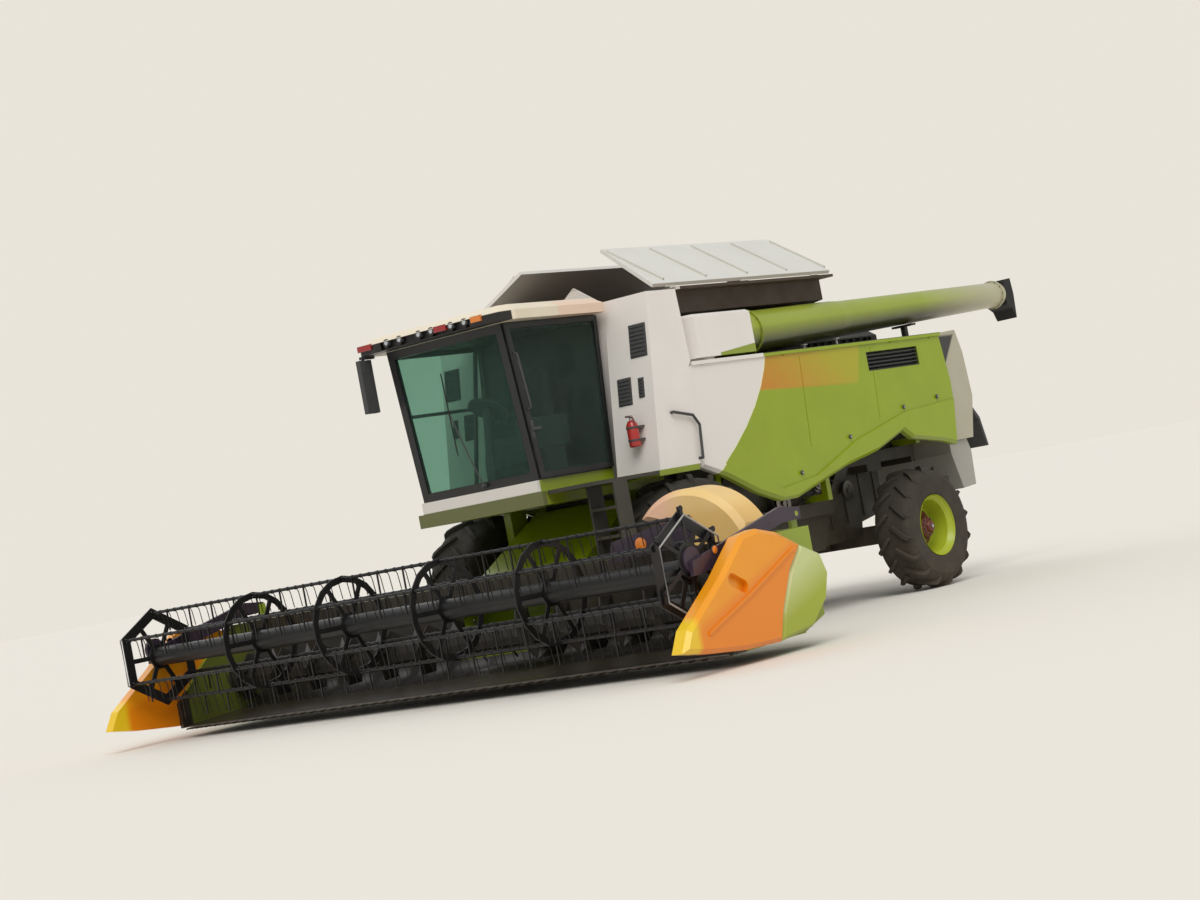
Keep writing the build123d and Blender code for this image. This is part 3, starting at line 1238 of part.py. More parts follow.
# Table frame: trough sheet, back wall, beams and end sheets, in two wings seated on the middle
TROUGH_R = AUGER_R + AUGER_PLAY
trough_low = AUGER_Z - TROUGH_R
GUARD_PITCH = 152.4
GUARDS = int(2 * (TABLE_HALF_WIDTH - END_SHEET - 60) / GUARD_PITCH)
GUARD_LENGTH = 125
GUARD_HALF = 24
GUARD_THICKNESS = 16
with BuildPart() as table_frame:
    with BuildSketch(Plane.YZ.offset(-TABLE_HALF_WIDTH)):
        with BuildLine():
            floor_start = (AXLE_Y + TABLE_LIP_D, TABLE_LIP_Z)
            arc_start = (AXLE_Y + AUGER_D, trough_low)
            arc_end = (AXLE_Y + AUGER_D + TROUGH_R, AUGER_Z)
            back_top = (AXLE_Y + AUGER_D + TROUGH_R, TABLE_TOP)
            Polyline(floor_start, (floor_start[0], TABLE_LIP_Z + 15), arc_start)
            RadiusArc(arc_start, arc_end, -TROUGH_R)
            outer_back = arc_end[0] + TABLE_SHEET
            low_line = trough_low - TABLE_SHEET
            Polyline(
                arc_end,
                back_top,
                (outer_back, TABLE_TOP),
                (outer_back, AUGER_Z - 120),
                (arc_start[0] + 180, low_line),
                (arc_start[0], low_line),
                floor_start,
            )
        make_face()
    extrude(amount=2 * TABLE_HALF_WIDTH)
    outer_back = TABLE_BACK_D
    for beam_front, beam_heights in (
        (outer_back - 5, (TABLE_TOP - 140, TABLE_TOP)),
        (outer_back - 90, (FEEDER_FRONT_BOTTOM, FEEDER_MOUTH_LOW)),
    ):
        beam_range = (beam_front, outer_back + BACK_BEAM_DEPTH)
        block((-TABLE_HALF_WIDTH, TABLE_HALF_WIDTH), beam_range, beam_heights)
    for rib_share in (-0.985, -0.675, -0.44, -0.234, 0.234, 0.44, 0.675, 0.985):
        rib_x = rib_share * TABLE_HALF_WIDTH
        block((rib_x - 20, rib_x + 20), (outer_back - 5, outer_back + 120), (300, TABLE_TOP - 100))
    with BuildSketch(Plane.XY.offset(TABLE_LIP_Z - FIT_GAP - GUARD_THICKNESS)):
        guard_line = AXLE_Y + TABLE_LIP_D - 5
        teeth = []
        for guard in range(GUARDS):
            guard_x = (guard - (GUARDS - 1) / 2) * GUARD_PITCH
            tip = (guard_x, guard_line - GUARD_LENGTH)
            teeth += [(guard_x - GUARD_HALF, guard_line), tip, (guard_x + GUARD_HALF, guard_line)]
        Polygon(*teeth, (teeth[-1][0] + 20, guard_line + 80), (teeth[0][0] - 20, guard_line + 80), align=None)
    extrude(amount=GUARD_THICKNESS)
    lip_heights = (TABLE_LIP_Z - 10, TABLE_LIP_Z + 10)
    block((teeth[0][0], teeth[-1][0]), (TABLE_LIP_D + 5, TABLE_LIP_D + 70), lip_heights)
    block(
        (-FEEDER_MOUTH_HALF, FEEDER_MOUTH_HALF),
        (outer_back - 120, outer_back + 145),
        (FEEDER_MOUTH_LOW, FEEDER_MOUTH_HIGH),
        mode=Mode.SUBTRACT,
    )
    for sign, _ in SIDES:
        block(
            sorted((sign * FEEDER_MOUTH_HALF, sign * (FEEDER_MOUTH_HALF + FIT_GAP))),
            (TABLE_LIP_D - GUARD_LENGTH - 50, outer_back + BACK_BEAM_DEPTH + 10),
            (0, TABLE_TOP + 10),
            mode=Mode.SUBTRACT,
        )
        sheet_side = TABLE_HALF_WIDTH - END_SHEET if sign > 0 else -TABLE_HALF_WIDTH
        with BuildSketch(Plane.YZ.offset(sheet_side)):
            Polygon(
                *side(
                    [
                        (TABLE_LIP_D - 40, TABLE_LIP_Z),
                        (TABLE_LIP_D - 40, 380),
                        (-2300, 760),
                        (-1800, TABLE_TOP),
                        (outer_back + BACK_BEAM_DEPTH, TABLE_TOP),
                        (outer_back + BACK_BEAM_DEPTH, 260),
                        (AUGER_D + 150, low_line),
                        (AUGER_D, low_line),
                    ]
                ),
                align=None,
            )
        extrude(amount=END_SHEET)
        bracket = sign * (ARM_X + ARM_THICKNESS / 2)
        block(
            sorted((bracket - sign * 60, bracket - sign * (ARM_THICKNESS / 2 + 5))),
            (REEL_PIVOT_D - 45, REEL_PIVOT_D + 45),
            (TABLE_TOP - 5, REEL_PIVOT_Z + 45),
        )
        rod(
            at(bracket - sign * 60, REEL_PIVOT_D, REEL_PIVOT_Z),
            at(bracket + sign * ARM_THICKNESS / 2, REEL_PIVOT_D, REEL_PIVOT_Z),
            REEL_PIVOT_R,
        )
        rod(
            at(sign * (TABLE_HALF_WIDTH - END_SHEET), AUGER_D, AUGER_Z),
            at(sign * (TABLE_HALF_WIDTH - END_SHEET - 60), AUGER_D, AUGER_Z),
            AUGER_SHAFT_R,
        )
save(table_frame, "table_frame")

# Crop dividers with rounded end shields behind them
SHIELD_LINE = [
    # where the divider ends and the shield begins, from the top down
    (-1690, 950),
    (-1920, 730),
    (-2130, 380),
    (-2230, 130),
]
DIVIDER_OUTLINE = [
    (-FRONT_REACH, 250),
    (-3540, 440),
    (-2970, 820),
    (-2570, 1140),
    (-2310, 1175),
    (-2010, 1105),
    *SHIELD_LINE,
    (-2750, 140),
    (-3270, 190),
]
SHIELD_OUTLINE = [*SHIELD_LINE, (-1700, 190), (-1430, 400), (-1330, 640), (-1400, 830)]
RIDGE_LINE = [(-1850, 945), (-2580, 640), (-3290, 380)]
RIDGE_WIDTH = 34
RIDGE_RELIEF = 14
DIVIDER_FACE = TABLE_HALF_WIDTH + DIVIDER_WIDTH - RIDGE_RELIEF
with BuildPart() as divider_left:
    with BuildSketch(Plane.YZ.offset(TABLE_HALF_WIDTH)):
        Polygon(*side(DIVIDER_OUTLINE), align=None)
    extrude(amount=DIVIDER_WIDTH - RIDGE_RELIEF)
    chamfer(divider_left.faces().sort_by(Axis.X)[-1].edges(), 40)
    with BuildSketch(Plane.YZ.offset(DIVIDER_FACE - 30)):
        ridge_low = [(d, z - RIDGE_WIDTH) for d, z in reversed(RIDGE_LINE)]
        Polygon(*side(RIDGE_LINE + ridge_low), align=None)
    extrude(amount=30 + RIDGE_RELIEF)
    with BuildSketch(Plane.YZ.offset(DIVIDER_FACE)):
        with Locations((AXLE_Y - 2745, 735)):
            SlotOverall(290, 120, rotation=-28)
    extrude(amount=-60, mode=Mode.SUBTRACT)
save(divider_left, "crop_divider_left")
with BuildPart() as divider_right:
    mirror(divider_left.part, about=Plane.YZ)
save(divider_right, "crop_divider_right")
with BuildPart() as end_shields:
    for sign, _ in SIDES:
        shield_side = TABLE_HALF_WIDTH if sign > 0 else -TABLE_HALF_WIDTH - DIVIDER_WIDTH + 30
        with BuildSketch(Plane.YZ.offset(shield_side)):
            Polygon(*side(SHIELD_OUTLINE), align=None)
        extrude(amount=DIVIDER_WIDTH - 30)
    for outer_face in (end_shields.faces().sort_by(Axis.X)[0], end_shields.faces().sort_by(Axis.X)[-1]):
        chamfer(outer_face.edges(), 30)
save(end_shields, "end_shields")

# Drive cowl behind the reel's left end, on the table's top beam
COWL_END = TABLE_HALF_WIDTH - 460
COWL_FRONT_D = -1720
COWL_REAR_D = -1340
with BuildPart() as drive_cowl:
    with BuildSketch(Plane(origin=at(COWL_END, COWL_REAR_D, 0), x_dir=(1, 0, 0), z_dir=(0, -1, 0))):
        with BuildLine():
            Polyline((0, TABLE_TOP), (-680, TABLE_TOP), (-780, 1290), (-1220, 1430))
            ThreePointArc((-1220, 1430), (-560, 1640), (0, 1230))
            Line((0, 1230), (0, TABLE_TOP))
        make_face()
    extrude(amount=COWL_REAR_D - COWL_FRONT_D)
    chamfer(drive_cowl.faces().sort_by(Axis.Y)[0].edges().filter_by(lambda edge: edge.center().Z > 1200), 60)
save(drive_cowl, "drive_cowl")

# Table auger: a tube with two opposite screws that meet at retracting fingers in the middle
FLIGHT_PITCH = 560
FLIGHT_STEPS = 6
AUGER_SIDES = 12
FLIGHT_THICKNESS = 12
FLIGHT_R = AUGER_R - 8
FINGER_ZONE = 430
FINGERS = 8
auger_end = TABLE_HALF_WIDTH - END_SHEET - 20


def flight(hand):
    """A screw blade with flat facets, from the finger zone to the auger's end on one side."""
    advance = FLIGHT_PITCH / FLIGHT_STEPS
    steps = int((auger_end - FINGER_ZONE - 30) / advance)
    corners = []
    for step in range(steps + 1):
        turn = radians(360 / FLIGHT_STEPS * step)
        middle = FINGER_ZONE + step * advance
        for offset, radius in (
            (-FLIGHT_THICKNESS / 2, AUGER_TUBE_R - 25),
            (-FLIGHT_THICKNESS / 2, FLIGHT_R),
            (FLIGHT_THICKNESS / 2, FLIGHT_R),
            (FLIGHT_THICKNESS / 2, AUGER_TUBE_R - 25),
        ):
            corners.append(
                at(hand * (middle + offset), AUGER_D + radius * cos(turn), AUGER_Z + radius * sin(turn))
            )
    facets = [corners[0:4], corners[-4:]]
    for step in range(steps):
        for edge in range(4):
            near, far = 4 * step + edge, 4 * step + (edge + 1) % 4
            facets.append([corners[near], corners[far], corners[far + 4]])
            facets.append([corners[near], corners[far + 4], corners[near + 4]])
    return Solid(Shell([Face(Wire.make_polygon(points)) for points in facets]))


with BuildPart() as table_auger:
    with BuildSketch(Plane(origin=at(-auger_end, AUGER_D, AUGER_Z), x_dir=(0, 1, 0), z_dir=(1, 0, 0))):
        RegularPolygon(AUGER_TUBE_R, AUGER_SIDES)
    extrude(amount=2 * auger_end)
    for sign, _ in SIDES:
        add(flight(sign))
        rod(
            at(sign * (auger_end + 1), AUGER_D, AUGER_Z),
            at(sign * (auger_end - 50), AUGER_D, AUGER_Z),
            AUGER_SHAFT_R + FIT_GAP,
            mode=Mode.SUBTRACT,
        )
    for finger in range(FINGERS):
        finger_x = (finger - (FINGERS - 1) / 2) * 2 * FINGER_ZONE / FINGERS
        with Locations(Location(at(finger_x, AUGER_D, AUGER_Z), (90 * finger + 35, 0, 0))):
            Box(16, 16, FLIGHT_R - 20, align=(Align.CENTER, Align.CENTER, Align.MIN))
save(table_auger, "table_auger")

# Knife under the table's lip: a bar with a row of sections, sliding over the guards
with BuildPart() as knife_bar:
    knife_end = TABLE_HALF_WIDTH - END_SHEET - 60
    block((-knife_end, knife_end), (TABLE_LIP_D - 34, TABLE_LIP_D - FIT_GAP), (TABLE_LIP_Z, TABLE_LIP_Z + 12))
    with BuildSketch(Plane.XY.offset(TABLE_LIP_Z)):
        section_line = AXLE_Y + TABLE_LIP_D - 30
        sections = []
        for section in range(GUARDS - 1):
            section_x = (section - (GUARDS - 1) / 2) * GUARD_PITCH
            sections += [(section_x, section_line), (section_x + GUARD_PITCH / 2, section_line - 82)]
        Polygon(*sections, (sections[-1][0] + GUARD_PITCH / 2, section_line), align=None)
    extrude(amount=6)
save(knife_bar, "knife_bar")


# Reel: centre tube with hoops and hexagonal end plates
def reel_spot(index, radius, centre_z=REEL_Z):
    """Side view position on a circle round the reel's axis, one of the tine bars' places."""
    angle = radians(360 / REEL_BARS * index + 30)
    return (AXLE_Y + REEL_D + radius * cos(angle), centre_z + radius * sin(angle))


HOOP_SIDES = 18
reel_rings = [
    # middle place, sides of its ring, reach past the bars' circle
    *[(share * REEL_END_X, HOOP_SIDES, REEL_RIM) for share in REEL_HOOP_SHARES],
    (REEL_END_X - REEL_PLATE / 2, REEL_BARS, 60),
]
with BuildPart() as reel:
    rod(at(-REEL_END_X, REEL_D, REEL_Z), at(REEL_END_X, REEL_D, REEL_Z), REEL_TUBE_R)
    rod(at(-ARM_X + 2, REEL_D, REEL_Z), at(ARM_X - 2, REEL_D, REEL_Z), REEL_SHAFT_R)
    for ring_x, ring_sides, reach in [(sign * x, n, r) for x, n, r in reel_rings for sign in (1, -1)]:
        with BuildSketch(Plane.YZ.offset(ring_x - REEL_PLATE / 2)):
            with Locations((AXLE_Y + REEL_D, REEL_Z)):
                RegularPolygon(REEL_BAR_CIRCLE + reach, ring_sides, rotation=30)
                RegularPolygon(REEL_BAR_CIRCLE - reach, ring_sides, rotation=30, mode=Mode.SUBTRACT)
                for spoke in range(REEL_BARS):
                    Rectangle(
                        REEL_BAR_CIRCLE - reach + 20,
                        50,
                        rotation=360 / REEL_BARS * spoke,
                        align=(Align.MIN, Align.CENTER),
                    )
                RegularPolygon(REEL_TUBE_R + 50, REEL_BARS)
            for index in range(REEL_BARS):
                with Locations(reel_spot(index, REEL_BAR_CIRCLE)):
                    RegularPolygon(BAR_R + FIT_GAP, 6, major_radius=False, mode=Mode.SUBTRACT)
        extrude(amount=REEL_PLATE)
save(reel, "reel")

# Tine bars: each keeps its tines hanging while the reel carries it round
crank_tip = ECCENTRIC_OFFSET
bar_length = REEL_END_X + 10 + CRANK_X + CRANK_PLATE
tine_count = int((2 * REEL_END_X - 200) / TINE_PITCH) + 1
tines = [(number - (tine_count - 1) / 2) * TINE_PITCH for number in range(tine_count)]
hoops = [sign * ring_x for ring_x, _, _ in reel_rings for sign in (1, -1)]
clear_tines = [x for x in tines if min(abs(x - hoop) for hoop in hoops) > 40]
for index in range(REEL_BARS):
    bar_y, bar_z = reel_spot(index, REEL_BAR_CIRCLE)
    with BuildPart() as tine_bar:
        with BuildSketch(Plane.YZ.offset(-REEL_END_X - 10)):
            with Locations((bar_y, bar_z)):
                RegularPolygon(BAR_R, 8, rotation=22.5)
        extrude(amount=bar_length)
        with BuildSketch(Plane.YZ.offset(CRANK_X)):
            with Locations((bar_y, bar_z + crank_tip / 2)):
                Rectangle(2 * BAR_R + 8, crank_tip + 2 * BAR_R)
        extrude(amount=CRANK_PLATE)
        crank_end = ECCENTRIC_RING_X + ECCENTRIC_PLATE
        with Locations(Plane(origin=(CRANK_X + 1, bar_y, bar_z + crank_tip), z_dir=(1, 0, 0)).location):
            Cylinder(CRANK_PIN_R, crank_end - CRANK_X - 1, align=(Align.CENTER, Align.CENTER, Align.MIN))
        with Locations(*[(x, bar_y, bar_z - TINE_LENGTH / 2) for x in clear_tines]):
            Box(TINE_WIDTH, TINE_WIDTH, TINE_LENGTH)
    save(tine_bar, f"tine_bar_{index + 1}")

# Eccentric ring that holds the cranks upright, running on the left arm's disc
with BuildPart() as eccentric:
    centre_z = REEL_Z + ECCENTRIC_OFFSET
    with BuildSketch(Plane.YZ.offset(ECCENTRIC_RING_X)):
        with Locations((AXLE_Y + REEL_D, centre_z)):
            for spoke in range(REEL_BARS):
                Rectangle(
                    REEL_BAR_CIRCLE,
                    36,
                    rotation=360 / REEL_BARS * spoke + 30,
                    align=(Align.MIN, Align.CENTER),
                )
            RegularPolygon(ECCENTRIC_DISC_R + 45, 24)
            Circle(ECCENTRIC_DISC_R + FIT_GAP, mode=Mode.SUBTRACT)
        for index in range(REEL_BARS):
            with Locations(reel_spot(index, REEL_BAR_CIRCLE, centre_z)):
                RegularPolygon(28, 8)
                Circle(CRANK_PIN_R + FIT_GAP, mode=Mode.SUBTRACT)
    extrude(amount=ECCENTRIC_PLATE)
save(eccentric, "reel_eccentric")

# Reel arms from the table's back to the reel's shaft
ARM_OUTLINE = [
    (REEL_PIVOT_D + 60, REEL_PIVOT_Z - 50),
    (REEL_PIVOT_D + 60, REEL_PIVOT_Z + 60),
    (REEL_PIVOT_D - 250, REEL_PIVOT_Z + 90),
    (REEL_D - 60, REEL_Z + 70),
    (REEL_D - 70, REEL_Z - 60),
    (REEL_D + 60, REEL_Z - 60),
    (REEL_PIVOT_D - 250, REEL_PIVOT_Z - 60),
]
with BuildPart() as reel_arms:
    for sign, _ in SIDES:
        arm_side = ARM_X if sign > 0 else -ARM_X - ARM_THICKNESS
        with BuildSketch(Plane.YZ.offset(arm_side)):
            Polygon(*side(ARM_OUTLINE), align=None)
            with Locations((AXLE_Y + REEL_PIVOT_D, REEL_PIVOT_Z)):
                Circle(REEL_PIVOT_R + FIT_GAP, mode=Mode.SUBTRACT)
        extrude(amount=ARM_THICKNESS)
        disc_start = sign * ARM_X
        disc_end = sign * (ECCENTRIC_RING_X - 2)
        rod(
            at(disc_start, REEL_D, REEL_Z + ECCENTRIC_OFFSET),
            at(disc_end, REEL_D, REEL_Z + ECCENTRIC_OFFSET),
            ECCENTRIC_DISC_R,
        )
        rod(
            at(sign * (ARM_X + 1), REEL_D, REEL_Z),
            at(disc_end - sign * 1, REEL_D, REEL_Z),
            REEL_SHAFT_R + FIT_GAP,
            mode=Mode.SUBTRACT,
        )
save(reel_arms, "reel_arms")

# Lift cylinders between the front axle and the feeder house
lift_d = LIFT_EYE_D - LIFT_BASE_D
lift_z = LIFT_EYE_Z - LIFT_BASE_Z
lift_length = hypot(lift_d, lift_z)
lift_unit = (lift_d / lift_length, lift_z / lift_length)


def lift_point(sign, distance):
    """A point on a cylinder's line, at a distance from its base pin."""
    return at(sign * LIFT_X, LIFT_BASE_D + lift_unit[0] * distance, LIFT_BASE_Z + lift_unit[1] * distance)


with BuildPart() as lift_barrels:
    for sign, _ in SIDES:
        rod(lift_point(sign, 0), lift_point(sign, LIFT_BARREL_LENGTH), LIFT_BARREL_R)
        rod(
            at(sign * LIFT_X - 75, LIFT_BASE_D, LIFT_BASE_Z),
            at(sign * LIFT_X + 75, LIFT_BASE_D, LIFT_BASE_Z),
            LIFT_PIN_R + FIT_GAP,
            mode=Mode.SUBTRACT,
        )
        for face in (-1, 1):
            block(
                (
                    sign * LIFT_X + min(face * 35, face * 90),
                    sign * LIFT_X + max(face * 35, face * 90),
                ),
                (LIFT_BASE_D - 100, LIFT_BASE_D + 100),
                (LIFT_BASE_Z - 100, LIFT_BASE_Z + 100),
                mode=Mode.SUBTRACT,
            )
        rod(
            lift_point(sign, 120),
            lift_point(sign, LIFT_BARREL_LENGTH + 1),
            LIFT_ROD_R + FIT_GAP,
            mode=Mode.SUBTRACT,
        )
save(lift_barrels, "lift_barrels")

with BuildPart() as lift_rods:
    for sign, _ in SIDES:
        rod(lift_point(sign, 140), lift_point(sign, lift_length), LIFT_ROD_R)
        rod(
            at(sign * LIFT_X - 35, LIFT_EYE_D, LIFT_EYE_Z),
            at(sign * LIFT_X + 35, LIFT_EYE_D, LIFT_EYE_Z),
            LIFT_EYE_R,
        )
        rod(
            at(sign * LIFT_X - 36, LIFT_EYE_D, LIFT_EYE_Z),
            at(sign * LIFT_X + 36, LIFT_EYE_D, LIFT_EYE_Z),
            LIFT_PIN_R + LIFT_EYE_PLAY,
            mode=Mode.SUBTRACT,
        )
save(lift_rods, "lift_rods")
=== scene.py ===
"""Looks of a combine harvester, dressed round its solid model.

Every length is in metres in the model's own frame: +Z is up, the machine drives towards -Y and
its left side is +X. `at` turns a distance behind the front axle into a point of that frame.
"""

import logging
import math
from dataclasses import dataclass
from enum import Enum
from typing import Sequence

import bmesh
import bpy
from mathutils import Matrix, Vector


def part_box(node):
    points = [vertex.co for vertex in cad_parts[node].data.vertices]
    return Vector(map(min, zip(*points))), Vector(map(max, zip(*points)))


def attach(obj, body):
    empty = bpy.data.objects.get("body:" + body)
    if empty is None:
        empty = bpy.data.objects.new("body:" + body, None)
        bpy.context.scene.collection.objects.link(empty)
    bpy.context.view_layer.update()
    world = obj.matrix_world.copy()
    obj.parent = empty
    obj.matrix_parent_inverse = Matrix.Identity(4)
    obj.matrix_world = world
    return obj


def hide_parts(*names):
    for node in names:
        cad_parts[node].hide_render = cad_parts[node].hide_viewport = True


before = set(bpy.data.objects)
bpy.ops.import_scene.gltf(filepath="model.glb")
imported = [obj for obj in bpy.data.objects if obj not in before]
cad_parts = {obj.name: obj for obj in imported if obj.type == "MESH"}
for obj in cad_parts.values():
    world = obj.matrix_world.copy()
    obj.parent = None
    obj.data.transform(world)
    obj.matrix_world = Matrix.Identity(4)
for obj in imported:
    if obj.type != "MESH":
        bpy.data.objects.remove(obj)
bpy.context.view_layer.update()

LOG = logging.getLogger("harvester")
MM = 0.001
AXLE = sum(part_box("front_tyre_left"), Vector()) / 2

Point = Sequence[float]
Pair = tuple[float, float]
Outline = Sequence[Pair]
Tree = bpy.types.NodeTree
Socket = bpy.types.NodeSocket
LEFT = Matrix.Identity(4)
RIGHT = Matrix.Scale(-1, 4, (1, 0, 0))
MIRRORS = (("left", LEFT), ("right", RIGHT))


def at(x: float, distance: float, height: float) -> Vector:
    """A point given by its distance behind the front axle."""
    return Vector((x, AXLE.y + distance, height))


def node(tree: Tree, kind: str, settings: dict | None = None, **inputs: object) -> bpy.types.Node:
    """Adds one node with its settings and links.

    Args:
        tree: The tree that takes the node.
        kind: The node's type, after ShaderNode.
        settings: Values of the node's own properties.
        inputs: Values or output sockets by input name with _ for a space, or as n0, n1 by place.

    Returns:
        The new node.
    """
    made = tree.nodes.new("ShaderNode" + kind)
    for key, value in (settings or {}).items():
        setattr(made, key, value)
    for key, value in inputs.items():
        place = key[1:]
        socket = made.inputs[int(place)] if place.isdigit() else made.inputs[key.replace("_", " ")]
        if isinstance(value, Socket):
            tree.links.new(value, socket)
        else:
            socket.default_value = value
    return made


def linear(code: str) -> tuple[float, float, float, float]:
    """Linear colour with full alpha from an sRGB hex code such as #93a722."""
    parts = [int(code[place:place + 2], 16) / 255 for place in (1, 3, 5)]
    red, green, blue = [p / 12.92 if p <= 0.04045 else ((p + 0.055) / 1.055) ** 2.4 for p in parts]
    return (red, green, blue, 1.0)


def empty_material(title: str) -> bpy.types.Material:
    """A new material whose tree has no node yet."""
    made = bpy.data.materials.new(title)
    made.use_nodes = True
    made.node_tree.nodes.clear()
    return made


def side_plane(x: float) -> Matrix:
    """A frame whose X is the distance behind the front axle, Y the height and Z across the machine."""
    return Matrix(((0, 0, 1, x), (1, 0, 0, AXLE.y), (0, 1, 0, 0), (0, 0, 0, 1)))


class Making(Enum):
    """How a surface was made, which sets the form of its fine relief."""

    SPRAYED = "sprayed"
    MOULDED = "moulded"
    CAST = "cast"
    ROLLED = "rolled"


@dataclass(frozen=True)
class Zone:
    """A part of a surface painted in another colour.

    Attributes:
        colour: The zone's sRGB hex code.
        edges: Planes that shut the zone in, each (x, distance, height, limit): a point is inside
            where x times its x, plus distance times its distance behind the front axle, plus height
            times its height is over the limit.
        soft: Width of the edge in metres.
    """

    colour: str
    edges: tuple[tuple[float, float, float, float], ...]
    soft: float = 0.006

    def mask(self, tree: Tree, place: Socket) -> Socket:
        """Share of the zone at each point, from 0 to 1."""
        inside = None
        for x, distance, height, limit in self.edges:
            along = node(
                tree, "VectorMath", {"operation": "DOT_PRODUCT"}, n0=place, n1=(x, distance, height)
            ).outputs["Value"]
            middle = limit + distance * AXLE.y
            share = node(
                tree, "MapRange", Value=along,
                From_Min=middle - self.soft / 2, From_Max=middle + self.soft / 2,
            ).outputs[0]
            if inside is not None:
                share = node(tree, "Math", {"operation": "MINIMUM"}, n0=inside, n1=share).outputs[0]
            inside = share
        return inside


# Colour of dry field dust, and the height in metres where it ends
DUST = "#a08a68"
DUST_TOP = 2.5
COAT_ROUGHNESS = 0.08
RGBA = {"data_type": "RGBA"}


@dataclass(frozen=True)
class Finish:
    """One real surface finish.

    Attributes:
        title: The material's name.
        colour: Main colour as an sRGB hex code.
        shade: Second tone, met in soft patches.
        roughness: Middle roughness.
        making: How the surface was made.
        metallic: 1 for bare metal, 0 for the rest.
        ior: Index of refraction of a finish that isn't metal.
        coat: Weight of the clear gloss over the colour.
        patch_mm: Size of the soft patches of the second tone.
        grain_mm: Width of the fine relief.
        relief_mm: Height of the fine relief.
        dust: Share of field dust at ground level, fading to none at DUST_TOP.
        zones: Parts of the surface in other colours, each over the ones before it.
        painted_underside_shade: Painted shade, a darker colour for faces that look down, or none.
    """

    title: str
    colour: str
    shade: str
    roughness: float
    making: Making = Making.SPRAYED
    metallic: float = 0.0
    ior: float = 1.5
    coat: float = 0.0
    patch_mm: float = 400.0
    grain_mm: float = 6.0
    relief_mm: float = 0.2
    dust: float = 0.12
    zones: tuple[Zone, ...] = ()
    painted_underside_shade: str = ""

    def material(self) -> bpy.types.Material:
        """The finish as a material, made once, or the model's own material where it has the title."""
        known = bpy.data.materials.get(self.title)
        if known:
            return known
        made = empty_material(self.title)
        tree = made.node_tree
        place = node(tree, "TexCoord").outputs["Object"]
        colour = self.body_colour(tree, place)
        shader = node(
            tree, "BsdfPrincipled", Base_Color=self.dusted(tree, place, colour), Metallic=self.metallic,
            IOR=self.ior, Coat_Weight=self.coat, Coat_Roughness=COAT_ROUGHNESS,
            Roughness=self.rough(tree, place), Normal=self.relief(tree, place),
        )
        node(tree, "OutputMaterial", Surface=shader.outputs["BSDF"])
        made.diffuse_color = linear(self.colour)
        return made

    def body_colour(self, tree: Tree, place: Socket) -> Socket:
        """Main colour with soft patches of the second tone, its zones and the painted shade of its underside.
        """
        patches = node(tree, "TexNoise", Vector=place, Scale=1 / (self.patch_mm * MM), Detail=3.0)
        colour = node(
            tree, "Mix", RGBA, n0=patches.outputs["Fac"],
            n6=linear(self.colour), n7=linear(self.shade),
        ).outputs[2]
        # Painted shade: faces that look down are mixed towards the darker underside colour
        if self.painted_underside_shade:
            facing = node(tree, "SeparateXYZ", Vector=node(tree, "TexCoord").outputs["Normal"]).outputs["Z"]
            down = node(tree, "MapRange", Value=facing, From_Min=0.2, From_Max=-0.6)
            colour = node(
                tree, "Mix", RGBA, n0=down.outputs[0],
                n6=colour, n7=linear(self.painted_underside_shade),
            ).outputs[2]
        for zone in self.zones:
            colour = node(
                tree, "Mix", RGBA, n0=zone.mask(tree, place),
                n6=colour, n7=linear(zone.colour),
            ).outputs[2]
        return colour

    def dusted(self, tree: Tree, place: Socket, colour: Socket) -> Socket:
        """The colour under dust that thins out with height."""
        height = node(tree, "SeparateXYZ", Vector=place).outputs["Z"]
        low = node(
            tree, "MapRange", Value=height, From_Min=0.0, From_Max=DUST_TOP, To_Min=self.dust, To_Max=0.0
        )
        cloud = node(tree, "TexNoise", Vector=place, Scale=7.0, Detail=5.0, Roughness=0.7)
        share = node(tree, "Math", {"operation": "MULTIPLY"}, n0=low.outputs[0], n1=cloud.outputs["Fac"])
        return node(
            tree, "Mix", RGBA, n0=share.outputs[0], n6=colour, n7=linear(DUST)
        ).outputs[2]

    def rough(self, tree: Tree, place: Socket) -> Socket:
        """Roughness that drifts by a sixth either way."""
        drift = node(tree, "TexNoise", Vector=place, Scale=4.0, Detail=4.0)
        return node(
            tree, "MapRange", Value=drift.outputs["Fac"], From_Min=0.3, From_Max=0.7,
            To_Min=self.roughness * 0.85, To_Max=min(1.0, self.roughness * 1.15),
        ).outputs[0]

    def relief(self, tree: Tree, place: Socket) -> Socket:
        """Fine relief of the way of making: ripples, grain, pits or draw lines."""
        scale = 1 / (self.grain_mm * MM)
        if self.making is Making.MOULDED:
            grain = node(tree, "TexVoronoi", Vector=place, Scale=scale).outputs["Distance"]
        elif self.making is Making.ROLLED:
            stretched = node(tree, "Mapping", Vector=place, Scale=(1.0, 0.08, 1.0))
            place = stretched.outputs[0]
            grain = node(tree, "TexNoise", Vector=place, Scale=scale, Detail=4.0).outputs["Fac"]
        else:
            detail = 6.0 if self.making is Making.CAST else 1.0
            grain = node(tree, "TexNoise", Vector=place, Scale=scale, Detail=detail).outputs["Fac"]
        return node(tree, "Bump", Height=grain, Distance=self.relief_mm * MM, Strength=0.6).outputs["Normal"]


# The front edge of the green paint is a parabola: a height, its distance, slope and bend there
EDGE_HEIGHT, EDGE_DISTANCE, EDGE_SLOPE, EDGE_BEND = 1.83, 0.69, 1.581, 0.544


